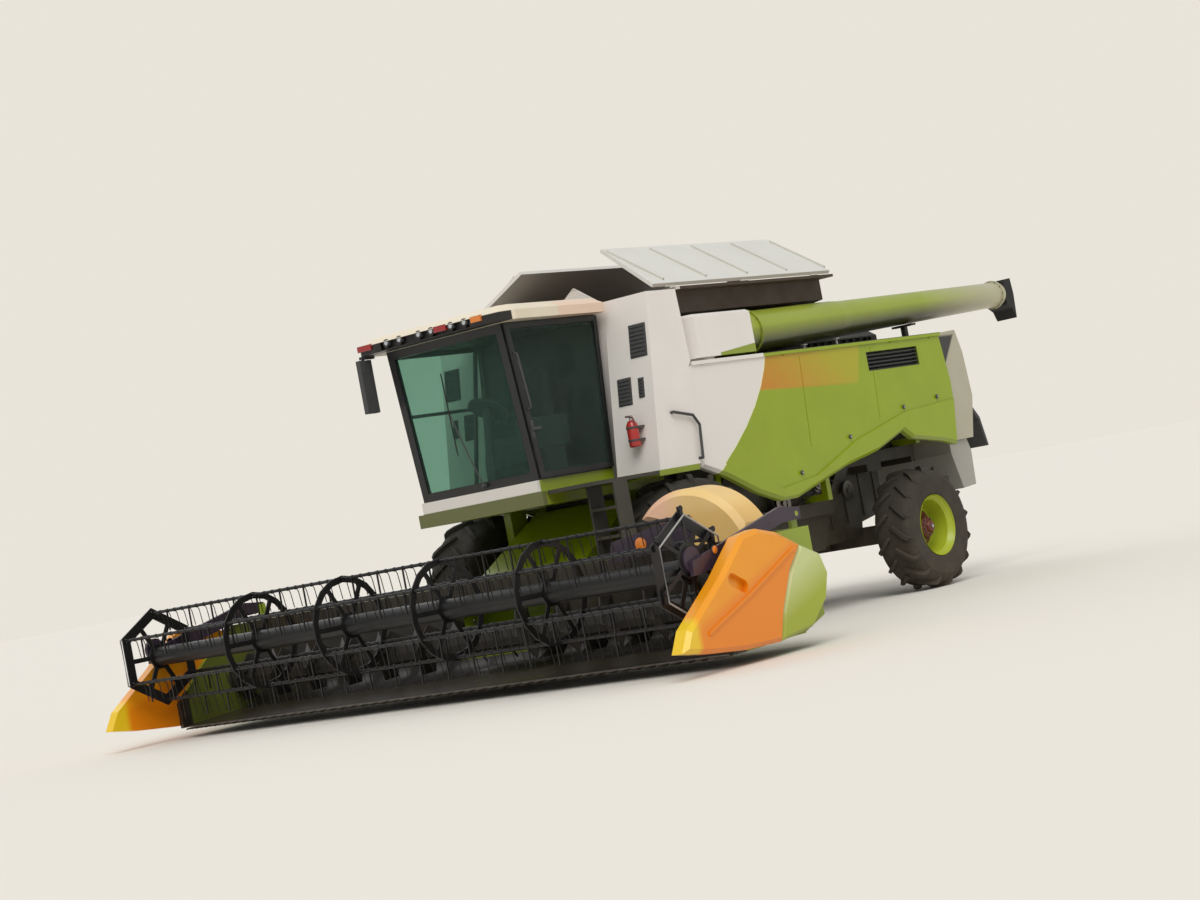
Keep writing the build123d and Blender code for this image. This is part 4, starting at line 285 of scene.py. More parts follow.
def front_tangent(height: float, forward: float) -> tuple[float, float, float, float]:
    """Plane that touches the curved front edge of the green paint at one height.

    Args:
        height: Where the plane touches, in metres.
        forward: How far the plane stands behind that edge.

    Returns:
        One edge of a zone that lies in front of it.
    """
    rise = height - EDGE_HEIGHT
    slope = EDGE_SLOPE - 2 * EDGE_BEND * rise
    reach = EDGE_DISTANCE + EDGE_SLOPE * rise - EDGE_BEND * rise**2 + forward
    return (0.0, -1.0, slope, slope * height - reach)


TANGENT_HEIGHTS = (1.9, 2.1, 2.3, 2.5, 2.7, 2.88)
PALE_LINE = Zone("#e9e6c4", tuple(front_tangent(height, 0.022) for height in TANGENT_HEIGHTS))
WHITE_FRONT = Zone("#e5dfd9", tuple(front_tangent(height, 0.0) for height in TANGENT_HEIGHTS))
STRIPE_EDGES = ((0.0, 0.0355, 1.0, 2.624), (0.0, 0.0, -1.0, -2.93), (0.0, -1.0, 0.325, -2.6775))
STRIPE = Zone("#aaa410", STRIPE_EDGES, soft=0.04)
# A short edge vector makes that one edge soft, here over two metres along the machine
STRIPE_FRONT = Zone("#c67a14", STRIPE_EDGES + ((0.0, -0.02, -0.024, -0.1105),), soft=0.04)
LOUVRE = Zone("#202221", ((0, 1, 0, 3.75), (0, -1, 0, -4.83), (0, 0, 1, 2.61), (0, 0, -1, -2.83)))

# Sprayed two-pack enamel ripples slightly under its gloss, the orange peel of farm machine paint
BODY_WHITE = Finish(
    "body_white_enamel", "#ece6e0", "#e0d9d2", 0.38, coat=0.12, grain_mm=9,
)
ROOT_WHITE = Finish(
    "unloader_white_enamel", "#ebe6e0", "#e0dad3", 0.35, coat=0.16, grain_mm=9,
    zones=(Zone("#8a9a2c", ((0, 0.1, -1, -2.92), (0, 1, 0, 1.0))),),
)
GREEN_ENAMEL = Finish("lime_enamel", "#93a800", "#879900", 0.33, coat=0.2, grain_mm=9)
PANEL_ENAMEL = Finish(
    "panel_enamel", "#93a800", "#879900", 0.33, coat=0.2, grain_mm=9,
    zones=(STRIPE, STRIPE_FRONT, PALE_LINE, WHITE_FRONT, LOUVRE),
)
BASE_ENAMEL = Finish(
    "cab_base_enamel", "#8a9a18", "#7f8e10", 0.38, coat=0.12, grain_mm=9,
    # The darker olive below the white strip at the front of the base is painted shade
    zones=(Zone("#686c3c", ((0, -1, 0, 1.50),)), Zone("#e2ddd5", ((0, -1, 0, 1.50), (0, 0, 1, 1.895)))),
)
# The tube's dark colour on faces that look down is painted shade
TUBE_ENAMEL = Finish(
    "tube_enamel", "#9aa83a", "#8e9b30", 0.35, coat=0.16, grain_mm=9,
    zones=(Zone("#b2ae90", ((0, 1, 0, 6.1),), soft=1.7),), painted_underside_shade="#34370e",
)
TABLE_ENAMEL = Finish(
    "table_enamel", "#8fa324", "#84951e", 0.4, coat=0.2, grain_mm=9,
    zones=(
        # Painted shade: dark brown on the table's floor between its side walls, and near black along its
        # front
        Zone("#28241d", ((0, -1, 0, 1.468), (1, 0, 0, -3.801), (-1, 0, 0, -3.801))),
        Zone("#161512", ((0, -1, 0, 2.60),)),
    ),
)
# The covers' darker colour on faces that look down is painted shade
COVER_ENAMEL = Finish(
    "cover_enamel", "#dddcd4", "#d2d0c7", 0.42, coat=0.1, grain_mm=9, painted_underside_shade="#a39c91"
)
HOOD_ENAMEL = Finish(
    "hood_enamel", "#b8b39e", "#aaa58f", 0.42, coat=0.1, grain_mm=9,
    zones=(
        Zone("#2a2b2a", ((0, -1, 0, -5.42), (0, 0, -1, -2.80))),
        Zone("#33322d", ((0, -1, 0.833, -3.533), (0, 0, -1, -2.93), (0, 1, 0, 5.38)), soft=0.03),
    ),
)
DECK_ENAMEL = Finish(
    "deck_enamel", "#93a800", "#879900", 0.33, coat=0.2, grain_mm=9,
    zones=(
        Zone("#e5dfd9", ((0, -1, 0, -1.74), (0, 0, 1, 2.88))),
        Zone("#26271f", ((0, 1, 0, 1.74), (0, 0, 1, 2.955))),
    ),
)
GREY_ENAMEL = Finish("pale_grey_enamel", "#a9a79f", "#9a978f", 0.45, coat=0.1, grain_mm=9)
SHIELD_ENAMEL = Finish(
    "end_shield_enamel", "#a4b22c", "#97a524", 0.38, coat=0.12, grain_mm=8,
    # The pale green that grows towards the top of the rounded shield is a painted highlight
    zones=(Zone("#c6d08e", ((0, -0.35, 1, 1.2),), soft=0.35),),
)
ORANGE_ENAMEL = Finish(
    "orange_enamel", "#f2a010", "#ea9208", 0.33, coat=0.2, grain_mm=8, dust=0.03,
    zones=(
        Zone("#e88400", ((0, 0.35, -1, -1.62), (0, 0, -1, -0.98)), soft=0.1),
        Zone("#ecc41c", ((0, -1, 0, 3.42),), soft=0.08),
    ),
)
BLACK_ENAMEL = Finish("black_enamel", "#1b1d1f", "#141617", 0.42, coat=0.1, grain_mm=7)
REEL_ENAMEL = Finish("reel_enamel", "#0e0e10", "#0a0a0c", 0.45, coat=0.05, grain_mm=7, dust=0.02)
ARM_ENAMEL = Finish("arm_enamel", "#3a2c3c", "#2e2230", 0.4, coat=0.12, grain_mm=7, dust=0.03)
SILVER_ENAMEL = Finish("silver_enamel", "#a8a8a6", "#979795", 0.42, coat=0.1, grain_mm=7)
RED_ENAMEL = Finish("red_enamel", "#b3261c", "#a01f17", 0.3, coat=0.5, grain_mm=6, dust=0.05)
CHASSIS_ENAMEL = Finish("chassis_enamel", "#34342c", "#292923", 0.55, grain_mm=7, dust=0.3)
RIM_ENAMEL = Finish("rim_enamel", "#aab826", "#9caa1c", 0.38, coat=0.12, grain_mm=6)
HUB_ENAMEL = Finish("hub_enamel", "#6e1c12", "#54150d", 0.45, coat=0.2, grain_mm=6)
# Moulded polyethylene and ABS keep the grain of the mould and a dull sheen
PEACH_PLASTIC = Finish(
    "straw_polyethylene", "#f0cd8a", "#e8c47c", 0.42, Making.MOULDED, grain_mm=3, dust=0.03,
    zones=(Zone("#e6bd72", ((0, 0, -1, -1.42),), soft=0.12), Zone("#f0c0a0", ((-1, 0, 0, -2.62),), soft=0.3)),
)
CREAM_PLASTIC = Finish(
    "cream_roof_plastic", "#e6dcc6", "#dccfb4", 0.45, Making.MOULDED, grain_mm=3,
    zones=(
        Zone("#e5c9b2", ((0, 1, 0, -0.99), (0, 0, -1, -3.785))),
        Zone("#1f1c19", ((0, -1, 0, 1.72), (0, 0, -1, -3.722))),
    ),
)
# The model has a material of its own with the title black_plastic, and this finish shows as that one
BLACK_PLASTIC = Finish("black_plastic", "#191919", "#131313", 0.55, Making.MOULDED, grain_mm=3, dust=0.04)
# Seat cloth is matt, and its pile is drawn with the same small cells as a moulded grain
SEAT_CLOTH = Finish(
    "seat_cloth", "#3a3b40", "#2f3034", 0.85, Making.MOULDED, grain_mm=2, relief_mm=0.3, dust=0.0
)
# Vulcanised rubber is matt and holds dust in its pores
TYRE_RUBBER = Finish(
    "tyre_rubber", "#1f1f1d", "#282722", 0.8, Making.CAST, grain_mm=14, relief_mm=0.8, dust=0.22
)
SOFT_RUBBER = Finish("spout_rubber", "#1b1b1a", "#232321", 0.7, Making.CAST, grain_mm=10, relief_mm=0.4)
# Rolled sheet worn by grain and straw shines along the way the crop runs
WORN_STEEL = Finish(
    "worn_steel", "#8d8a84", "#75716a", 0.38, Making.ROLLED, metallic=1.0, grain_mm=5, relief_mm=0.1, dust=0.2
)
TINE_STEEL = Finish(
    "tine_steel", "#35332f", "#292724", 0.5, Making.ROLLED, metallic=0.7, grain_mm=4, dust=0.02
)
# The tank's dark brown side wall is painted shade under the eave of the covers; its pale front gusset and
# pale top rim are their own colours
TANK_STEEL_PAINTED_SHADE = Finish(
    "tank_steel_painted_shade", "#4a3b2c", "#392c20", 0.6, Making.ROLLED, grain_mm=12, dust=0.0,
    zones=(Zone("#cfc7be", ((0, -1, 0, -0.62), (0, 0, 1, 3.2))), Zone("#b9b1a4", ((0, 0, 1, 4.005),))),
)
CAST_IRON = Finish(
    "cast_iron", "#4a4946", "#3b3a38", 0.6, Making.CAST, metallic=0.4, grain_mm=8, relief_mm=0.5
)
# Acrylic lenses are clear colour over a bright reflector
AMBER_LENS = Finish("amber_lens", "#e8862a", "#dd7a20", 0.15, Making.MOULDED, coat=0.8, grain_mm=4, dust=0.0)
RED_LENS = Finish("red_lens", "#a81d18", "#8f1612", 0.15, Making.MOULDED, coat=0.8, grain_mm=4, dust=0.0)
CLEAR_LENS = Finish("clear_lens", "#c9ccd0", "#b3b7bc", 0.12, Making.MOULDED, coat=0.9, grain_mm=4, dust=0.0)
CHROME = Finish("chrome_plate", "#c4c6c9", "#b2b4b7", 0.15, Making.ROLLED, metallic=1.0, grain_mm=4, dust=0.0)


@dataclass(frozen=True)
class Glazing:
    """Body-tinted safety glass, clear enough to show what stands behind it.

    Attributes:
        title: The material's name.
        tint: Colour of light that has passed through.
        clear: Share of light that passes.
        haze: Colour of the dusty film that the sky lights.
    """

    title: str
    tint: str
    clear: float
    haze: str

    def material(self) -> bpy.types.Material:
        """The glass as a material, made once."""
        known = bpy.data.materials.get(self.title)
        if known:
            return known
        made = empty_material(self.title)
        tree = made.node_tree
        place = node(tree, "TexCoord").outputs["Object"]
        film = node(tree, "TexNoise", Vector=place, Scale=3.0, Detail=4.0)
        rough = node(tree, "MapRange", Value=film.outputs["Fac"], To_Min=0.02, To_Max=0.12)
        gloss = node(
            tree, "BsdfPrincipled", Base_Color=linear(self.haze), Roughness=rough.outputs[0], IOR=1.52
        )
        through = node(tree, "BsdfTransparent", Color=linear(self.tint))
        mixed = node(tree, "MixShader", n0=self.clear, n1=gloss.outputs[0], n2=through.outputs[0])
        node(tree, "OutputMaterial", Surface=mixed.outputs[0])
        return made


# Green float glass of a cab: pale where light comes through, dark where the cab is behind it
CAB_GLASS = Glazing("cab_safety_glass", "#d6e8e1", 0.93, "#86a89c")
DOOR_GLASS = Glazing("door_safety_glass", "#dde9e5", 0.91, "#76887f")

NODE_FINISHES = {
    BODY_WHITE: ("front_body",),
    ROOT_WHITE: ("unloader_shroud",),
    GREEN_ENAMEL: ("feeder_house",),
    DECK_ENAMEL: ("side_deck",),
    PANEL_ENAMEL: ("side_panel_left", "side_panel_right"),
    BASE_ENAMEL: ("cab_base",),
    TUBE_ENAMEL: ("unloader_tube",),
    TABLE_ENAMEL: ("table_frame",),
    HOOD_ENAMEL: ("rear_hood",),
    COVER_ENAMEL: ("tank_cover_left", "tank_cover_right"),
    TANK_STEEL_PAINTED_SHADE: ("grain_tank",),
    ORANGE_ENAMEL: ("crop_divider_left", "crop_divider_right"),
    PEACH_PLASTIC: ("drive_cowl",),
    SHIELD_ENAMEL: ("end_shields",),
    CREAM_PLASTIC: ("cab_roof",),
    BLACK_PLASTIC: ("straw_deflector", "cab_interior", "cab_mirror", "body_handrail"),
    SOFT_RUBBER: ("unloader_spout",),
    TYRE_RUBBER: ("front_tyre_left", "front_tyre_right", "rear_tyre_left", "rear_tyre_right"),
    RIM_ENAMEL: ("front_rim_left", "front_rim_right", "rear_rim_left", "rear_rim_right"),
    REEL_ENAMEL: ("reel", "reel_eccentric", *[f"tine_bar_{number}" for number in range(1, 7)]),
    ARM_ENAMEL: ("reel_arms",),
    BLACK_ENAMEL: ("cab_shell", "cab_door", "table_auger"),
    CHASSIS_ENAMEL: (
        "main_frame", "front_axle", "rear_axle", "separator_body", "engine_hood", "walkway",
        "rear_knuckle_left", "rear_knuckle_right", "tie_rod", "tube_rest", "lift_barrels",
    ),
    GREY_ENAMEL: ("straw_chute",),
    WORN_STEEL: ("knife_bar", "lift_rods"),
    CAST_IRON: ("engine",),
    CAB_GLASS: ("cab_glass",),
    DOOR_GLASS: ("cab_door_glass",),
}


def dress_nodes() -> None:
    """Gives each solid of the model its finish."""
    for finish, names in NODE_FINISHES.items():
        for name in names:
            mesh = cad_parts[name].data
            mesh.materials.clear()
            mesh.materials.append(finish.material())
    missing = set(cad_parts) - {name for names in NODE_FINISHES.values() for name in names}
    LOG.info("dressed %d solids, without a finish: %s", len(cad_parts), sorted(missing))


def turned(origin: Point, direction: Point) -> Matrix:
    """A frame at an origin whose Z runs along a direction."""
    return Matrix.Translation(Vector(origin)) @ Vector(direction).to_track_quat("Z", "Y").to_matrix().to_4x4()


def circle(radius: float, sides: int, start: float = 0.0) -> list[Pair]:
    """Corners of a regular outline."""
    turns = [start + math.tau * side / sides for side in range(sides)]
    return [(radius * math.cos(turn), radius * math.sin(turn)) for turn in turns]


# Edges that turn by more than these are rounded, and shaded as sharp
SHARP_TURN = 0.6
SMOOTH_LIMIT = math.radians(38)


class Shape:
    """Geometry of one piece, gathered part by part and joined in one mesh."""

    def __init__(self) -> None:
        self.mesh = bmesh.new()
        self.finishes: list[Finish] = []

    def loft(self, rings: Sequence[Sequence[Vector]], finish: Finish, closed: bool = True) -> None:
        """Joins rings of equally many points with faces.

        Args:
            rings: The rings in order.
            finish: What the faces are covered with.
            closed: Whether the two ends are shut.
        """
        if finish not in self.finishes:
            self.finishes.append(finish)
        slot = self.finishes.index(finish)
        made = [[self.mesh.verts.new(point) for point in ring] for ring in rings]
        faces = []
        for near, far in zip(made, made[1:]):
            for place in range(len(near)):
                after = (place + 1) % len(near)
                faces.append(self.mesh.faces.new((near[place], near[after], far[after], far[place])))
        if closed:
            faces.append(self.mesh.faces.new(list(reversed(made[0]))))
            faces.append(self.mesh.faces.new(made[-1]))
        for face in faces:
            face.material_index = slot
            face.smooth = True

    def prism(self, outline: Outline, frame_at: Matrix, low: float, high: float, finish: Finish) -> None:
        """A plate with an outline in the X and Y of a frame, from one height of its Z to another."""
        rings = [[frame_at @ Vector((x, y, level)) for x, y in outline] for level in (low, high)]
        self.loft(rings, finish)

    def block(self, low: Point, high: Point, finish: Finish) -> None:
        """A box between two corners, each given as x, distance and height."""
        near, far = at(*low), at(*high)
        outline = [(near.x, near.y), (far.x, near.y), (far.x, far.y), (near.x, far.y)]
        self.prism(outline, Matrix.Identity(4), near.z, far.z, finish)

    def lathe(
        self, profile: Outline, frame_at: Matrix, finish: Finish, sides: int = 24, closed: bool = True
    ) -> None:
        """Turns a profile of (height, radius) pairs round the Z of a frame, with its ends shut or open."""
        rings = [
            [frame_at @ Vector((x, y, level)) for x, y in circle(max(radius, 0.0005), sides)]
            for level, radius in profile
        ]
        self.loft(rings, finish, closed)

    def tube(self, route: Sequence[Point], radius: float, finish: Finish, sides: int = 10) -> None:
        """A round bar along the points of a route."""
        points = [Vector(point) for point in route]
        rings = []
        for place, point in enumerate(points):
            ahead = points[min(place + 1, len(points) - 1)] - points[max(place - 1, 0)]
            frame_at = turned(point, ahead)
            rings.append([frame_at @ Vector((x, y, 0)) for x, y in circle(radius, sides)])
        self.loft(rings, finish)

    def place(self, name: str, body: str, mirror: Matrix = LEFT, bevel: float = 0.0) -> bpy.types.Object:
        """Turns the geometry into a piece that rides on a body.

        Args:
            name: The piece's name.
            body: The body that it moves with.
            mirror: RIGHT makes the piece of the other side.
            bevel: Width of the rounding of sharp edges.

        Returns:
            The piece.
        """
        if bevel:
            self.mesh.normal_update()
            edges = self.mesh.edges
            sharp = [edge for edge in edges if edge.is_manifold and edge.calc_face_angle() > SHARP_TURN]
            bmesh.ops.bevel(
                self.mesh, geom=sharp, offset=bevel, segments=2, profile=0.7, affect="EDGES",
                clamp_overlap=True,
            )
        self.mesh.transform(mirror)
        bmesh.ops.recalc_face_normals(self.mesh, faces=self.mesh.faces)
        mesh = bpy.data.meshes.new(name)
        self.mesh.to_mesh(mesh)
        self.mesh.free()
        mesh.set_sharp_from_angle(angle=SMOOTH_LIMIT)
        for finish in self.finishes:
            mesh.materials.append(finish.material())
        piece = bpy.data.objects.new(name, mesh)
        bpy.context.scene.collection.objects.link(piece)
        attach(piece, body)
        LOG.info("%s: %d faces on %s", name, len(mesh.polygons), body)
        return piece


# share of the tyre's half width, depth under the lugs' tops in lug heights
TREAD = ((0.0, 0.95), (0.35, 0.98), (0.62, 1.1), (0.80, 1.4), (0.91, 2.0), (0.965, 3.0))
# share of the tyre's half width, share of the wall over the rim
WALL = ((0.985, 0.62), (0.985, 0.45), (0.97, 0.30), (0.935, 0.17), (0.94, 0.14), (0.90, 0.07), (0.84, 0.02))
# share of a lug's length, depth of its top under the tyre's outer radius, share of its width
LUG_SECTIONS = (
    (-0.5, 0.012, 0.8), (-0.42, 0.0, 1.0), (0.1, 0.0, 1.0),
    (0.34, 0.006, 1.05), (0.46, 0.03, 1.1), (0.5, 0.075, 1.1),
)
# place along the axle, share of the hub's radius
HUB_COVER = (
    (-0.04, 1.74), (-0.008, 1.72), (0.002, 1.6), (0.002, 1.02), (0.078, 1.0),
    (0.108, 0.58), (0.13, 0.54), (0.142, 0.44), (0.144, 0.0),
)
HUB_CAP = ((0.12, 0.2), (0.155, 0.2), (0.16, 0.1))


@dataclass
class Wheel:
    """Tyre with wrapped lugs, and the hub and nuts on its rim.

    Attributes:
        axle: front or rear.
        distance: Place of the axle.
        middle: Place of the wheel's middle plane across the machine.
        outer: Radius over the lugs.
        width: Width of the tyre.
        rim: Radius of the rim's seat.
        hub: Radius of the hub.
        lug_width: Width of a lug along the tread.
        lugs: Lugs in each of the two rows.
        lug_height: Height of a lug over the tread.
        slant: Angle of a lug from the axle's direction.
        nuts: Nuts on the hub, and bolts on the rim.
    """

    axle: str
    distance: float
    middle: float
    outer: float
    width: float
    rim: float
    hub: float
    lug_width: float
    lugs: int = 16
    lug_height: float = 0.045
    slant: float = math.radians(42)
    nuts: int = 10

    def build(self) -> None:
        """Makes the tyre and the hub of both sides."""
        for side, mirror in MIRRORS:
            tyre = self.tyre().place(f"{self.axle}_tyre_{side}_tread", self.body(side), mirror)
            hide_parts(f"{self.axle}_tyre_{side}")
            self.fittings().place(f"{self.axle}_hub_{side}", self.body(side), mirror, bevel=0.002)

    def body(self, side: str) -> str:
        """Name of the body that the wheel is."""
        return f"{self.axle}_wheel_{side}"

    def centre(self) -> Vector:
        """Middle of the left wheel."""
        return at(self.middle, self.distance, self.outer)

    def tyre(self) -> Shape:
        """Rounded carcass with two rows of lugs that wrap over its shoulders."""
        half, wall = self.width / 2, self.outer - self.rim
        right = [(share, self.outer - depth * self.lug_height) for share, depth in TREAD]
        right += [(share, self.rim + part * wall) for share, part in WALL]
        right.append((0.79, self.rim + 0.001))
        profile = [(-share * half, radius) for share, radius in reversed(right[1:])]
        profile += [(share * half, radius) for share, radius in right]
        shape = Shape()
        shape.lathe(profile, turned(self.centre(), (1, 0, 0)), TYRE_RUBBER, sides=72, closed=False)
        for row, stagger in ((1, 0.0), (-1, 0.5)):
            for number in range(self.lugs):
                self.lug(shape, row, math.tau / self.lugs * (number + stagger) - math.pi / 2)
        return shape

    def lug(self, shape: Shape, row: int, turn: float) -> None:
        """Adds one slanted lug, highest over the tread and falling off down the shoulder."""
        half = self.width / 2
        length = (0.98 * half - self.lug_width * math.sin(self.slant)) / math.cos(self.slant)
        outward = Vector((0, math.cos(turn), math.sin(turn)))
        round_way = Vector((0, -math.sin(turn), math.cos(turn)))
        along = Vector((row * math.cos(self.slant), 0, 0)) + math.sin(self.slant) * round_way
        across = outward.cross(along)
        middle = self.centre() + Vector((row * 0.49 * half, 0, 0))
        rings = []
        for share, drop, broad in LUG_SECTIONS:
            spine = middle + along * share * length
            swing = (spine - self.centre()).dot(round_way)
            breadth = self.lug_width * broad / 2
            top = math.sqrt((self.outer - drop) ** 2 - (abs(swing) + breadth) ** 2)
            foot = self.outer - 2.4 * self.lug_height - drop
            crest, base = spine + outward * top, spine + outward * foot
            rings.append([
                crest + across * breadth * 0.72, crest - across * breadth * 0.72,
                base - across * breadth, base + across * breadth,
            ])
        shape.loft(rings, TYRE_RUBBER)

    def fittings(self) -> Shape:
        """Hub cover, its ring of nuts and the rim's ring of bolts."""
        shape = Shape()
        frame_at = turned(self.centre(), (1, 0, 0))
        cover = [(level, share * self.hub + 0.004) for level, share in HUB_COVER]
        shape.lathe(cover, frame_at, HUB_ENAMEL, sides=40)
        shape.lathe([(level, share * self.hub) for level, share in HUB_CAP], frame_at, CHROME)
        # share of the hub's radius, place along the axle, radius of a nut
        for share, level, size in ((0.82, 0.088, 0.013), (1.32, 0.0, 0.014)):
            for x, y in circle(share * self.hub, self.nuts, 0.3):
                seat = frame_at @ Matrix.Translation((x, y, 0))
                shape.prism(circle(size, 6), seat, level - 0.02, level + 0.018, WORN_STEEL)
        return shape


WHEELS = (
    Wheel("front", distance=0.0, middle=1.36, outer=0.9, width=0.65, rim=0.42, hub=0.19, lug_width=0.062),
    Wheel("rear", distance=4.34, middle=1.4, outer=0.715, width=0.5, rim=0.345, hub=0.12, lug_width=0.052),
)


@dataclass
class FrontWall:
    """What sits on the leaning white wall beside the cab: grilles and the extinguisher.

    Attributes:
        foot: The foot of the wall, as x, distance and height.
        lean: Run of the wall to the rear for each metre of height.
        grilles: The grilles of the left side.
        bottle_x: Place of the bottle across the machine.
        bottle_z: Heights of its foot and its shoulder.
        bottle_gap: Distance of its middle from the wall.
    """

    foot: Point = (0.0, -0.40, 1.89)
    lean: float = 0.1622
    # low x, high x, low z, high z, slats
    grilles: tuple[tuple[float, float, float, float, int], ...] = (
        (1.235, 1.455, 3.085, 3.425, 8), (1.025, 1.205, 2.615, 2.895, 7), (1.305, 1.375, 2.665, 2.865, 6),
    )
    bottle_x: float = 1.27
    bottle_z: Pair = (2.17, 2.45)
    bottle_gap: float = 0.085

    def face(self, height: float) -> float:
        """Distance of the wall's face at a height."""
        return self.foot[1] + self.lean * (height - self.foot[2])

    def build(self) -> None:
        """Makes the grilles of both sides and the bottle."""
        upright = Vector((0, self.lean, 1)).normalized()
        across = Vector((1, 0, 0))
        columns = Matrix((across, upright, across.cross(upright))).transposed().to_4x4()
        for side, mirror in MIRRORS:
            shape = Shape()
            for x_low, x_high, z_low, z_high, slats in self.grilles:
                frame_at = Matrix.Translation(at(x_low, self.face(z_low), z_low)) @ columns
                wide, tall = x_high - x_low, (z_high - z_low) * math.hypot(1, self.lean)
                outline = [(0, 0), (wide, 0), (wide, tall), (0, tall)]
                shape.prism(outline, frame_at, 0.0, 0.008, BLACK_PLASTIC)
                for slat in range(slats):
                    low = tall * (slat + 0.25) / slats
                    high = low + 0.5 * tall / slats
                    bar = [(0.012, low), (wide - 0.012, low), (wide - 0.012, high), (0.012, high)]
                    shape.prism(bar, frame_at, 0.006, 0.018, BLACK_PLASTIC)
            shape.place(f"front_wall_grilles_{side}", "machine", mirror, bevel=0.002)
        self.bottle()

    def bottle(self) -> None:
        """Makes the extinguisher with its valve, outlet and two clamps."""
        shape = Shape()
        low, high = self.bottle_z
        face = self.face(low)
        stand = at(self.bottle_x, face - self.bottle_gap, low)
        tall = high - low
        body = [(0, 0.05), (0.012, 0.062), (tall - 0.05, 0.062), (tall - 0.012, 0.04), (tall, 0.02)]
        frame_at = Matrix.Translation(stand)
        shape.lathe(body, frame_at, RED_ENAMEL)
        shape.lathe([(tall, 0.018), (tall + 0.05, 0.018)], frame_at, CHROME, sides=12)
        shape.block((self.bottle_x - 0.01, face - 0.16, high + 0.03),
                    (self.bottle_x + 0.01, face - 0.06, high + 0.05), BLACK_PLASTIC)
        horn = [(0.0, -0.02, tall + 0.035), (0.05, -0.03, tall + 0.02), (0.075, -0.035, tall - 0.03)]
        shape.tube([stand + Vector(point) for point in horn], 0.009, BLACK_PLASTIC)
        for share in (0.25, 0.72):
            height = low + share * tall
            band = [(share * tall - 0.012, 0.066), (share * tall + 0.012, 0.066)]
            shape.lathe(band, frame_at, BLACK_PLASTIC)
            shape.block((self.bottle_x - 0.07, face - self.bottle_gap, height - 0.012),
                        (self.bottle_x + 0.07, self.face(height) + 0.01, height + 0.012), BLACK_PLASTIC)
        shape.place("fire_extinguisher", "machine", bevel=0.001)


@dataclass
class CabFittings:
    """Roof lamps, wiper, mirror glass, steering wheel and side window of the cab.

    Attributes:
        roof_front: Distance of the roof's front edge.
        lamp_x: Places of the work lamps across the machine.
        lamp_z: Height of the work lamps.
        markers: Low x, high x and lens of each marker lamp.
    """

    roof_front: float = -1.9
    lamp_x: tuple[float, ...] = (-0.56, -0.37, -0.09, 0.09, 0.37, 0.56)
    lamp_z: float = 3.70
    markers: tuple[tuple[float, float, Finish], ...] = (
        (-0.98, -0.78, RED_LENS), (0.14, 0.31, RED_LENS), (0.66, 0.80, AMBER_LENS),
    )

    def build(self) -> None:
        """Makes each group of fittings."""
        self.lamps()
        self.wiper()
        self.mirror()
        self.driver_place()
        self.side_window()

    def lamps(self) -> None:
        """Six work lamps and three marker lamps along the front edge of the roof."""
        shape = Shape()
        for x in self.lamp_x:
            frame_at = turned(at(x, self.roof_front + 0.012, self.lamp_z), (0, -1, 0))
            shape.lathe([(-0.03, 0.044), (0.006, 0.044), (0.006, 0.036)], frame_at, BLACK_PLASTIC)
            lens = [(-0.02, 0.034), (0.004, 0.033), (0.009, 0.02), (0.011, 0.0)]
            shape.lathe(lens, frame_at, CLEAR_LENS)
        front = self.roof_front
        for x_low, x_high, colour in self.markers:
            shape.block((x_low, front - 0.004, 3.672), (x_high, front + 0.05, 3.735), colour)
        shape.place("roof_lamps", "machine", bevel=0.002)

    def wiper(self) -> None:
        """Wiper on the windscreen, with its arm and blade."""
        shape = Shape()
        foot, elbow = at(0.1, -1.535, 2.06), at(-0.12, -1.615, 2.85)
        shape.tube([foot, at(0.0, -1.58, 2.4), elbow], 0.008, BLACK_PLASTIC)
        shape.tube([at(-0.14, -1.585, 2.42), at(-0.1, -1.66, 3.28)], 0.007, SOFT_RUBBER)
        shape.lathe([(-0.02, 0.02), (0.03, 0.02), (0.04, 0.01)], turned(foot, (0, -1, 0)), BLACK_PLASTIC)
        shape.place("screen_wiper", "machine")

    def mirror(self) -> None:
        """Mirror glass behind the mirror's front, and its bracket's clamps."""
        shape = Shape()
        shape.block((-1.0, -1.762, 3.06), (-0.96, -1.752, 3.56), CHROME)
        for height in (3.16, 3.46):
            shape.block((-1.014, -1.9, height), (-0.946, -1.86, height + 0.03), BLACK_PLASTIC)
        shape.place("mirror_glass", "machine", bevel=0.001)

    def driver_place(self) -> None:
        """Steering wheel on its column."""
        shape = Shape()
        hub = at(0.0, -1.12, 2.82)
        frame_at = turned(hub, (0, 0.5, 0.87))
        ring = [frame_at @ Vector((x, y, 0)) for x, y in circle(0.19, 28)]
        shape.tube(ring + ring[:2], 0.014, BLACK_PLASTIC, sides=8)
        for x, y in circle(0.18, 3, 0.5):
            shape.tube([hub, frame_at @ Vector((x, y, 0))], 0.01, BLACK_PLASTIC, sides=6)
        shape.lathe([(-0.04, 0.05), (0.01, 0.05), (0.02, 0.03)], frame_at, BLACK_PLASTIC)
        shape.tube([hub, at(0.0, -1.3, 2.3), at(0.0, -1.32, 2.02)], 0.035, BLACK_PLASTIC)
        shape.place("steering_wheel", "machine")

    def side_window(self) -> None:
        """Bars of the sliding window on the right side, seen through the windscreen."""
        shape = Shape()
        upright = [(-0.72, 2.10), (-0.68, 2.10), (-0.31, 3.55), (-0.35, 3.55)]
        level = [(-1.50, 2.905), (-0.52, 2.905), (-0.51, 2.94), (-1.50, 2.94)]
        for outline in (upright, level):
            shape.prism(outline, side_plane(-0.797), 0.0, 0.03, BLACK_PLASTIC)
        shape.place("side_window_bars", "machine", bevel=0.003)


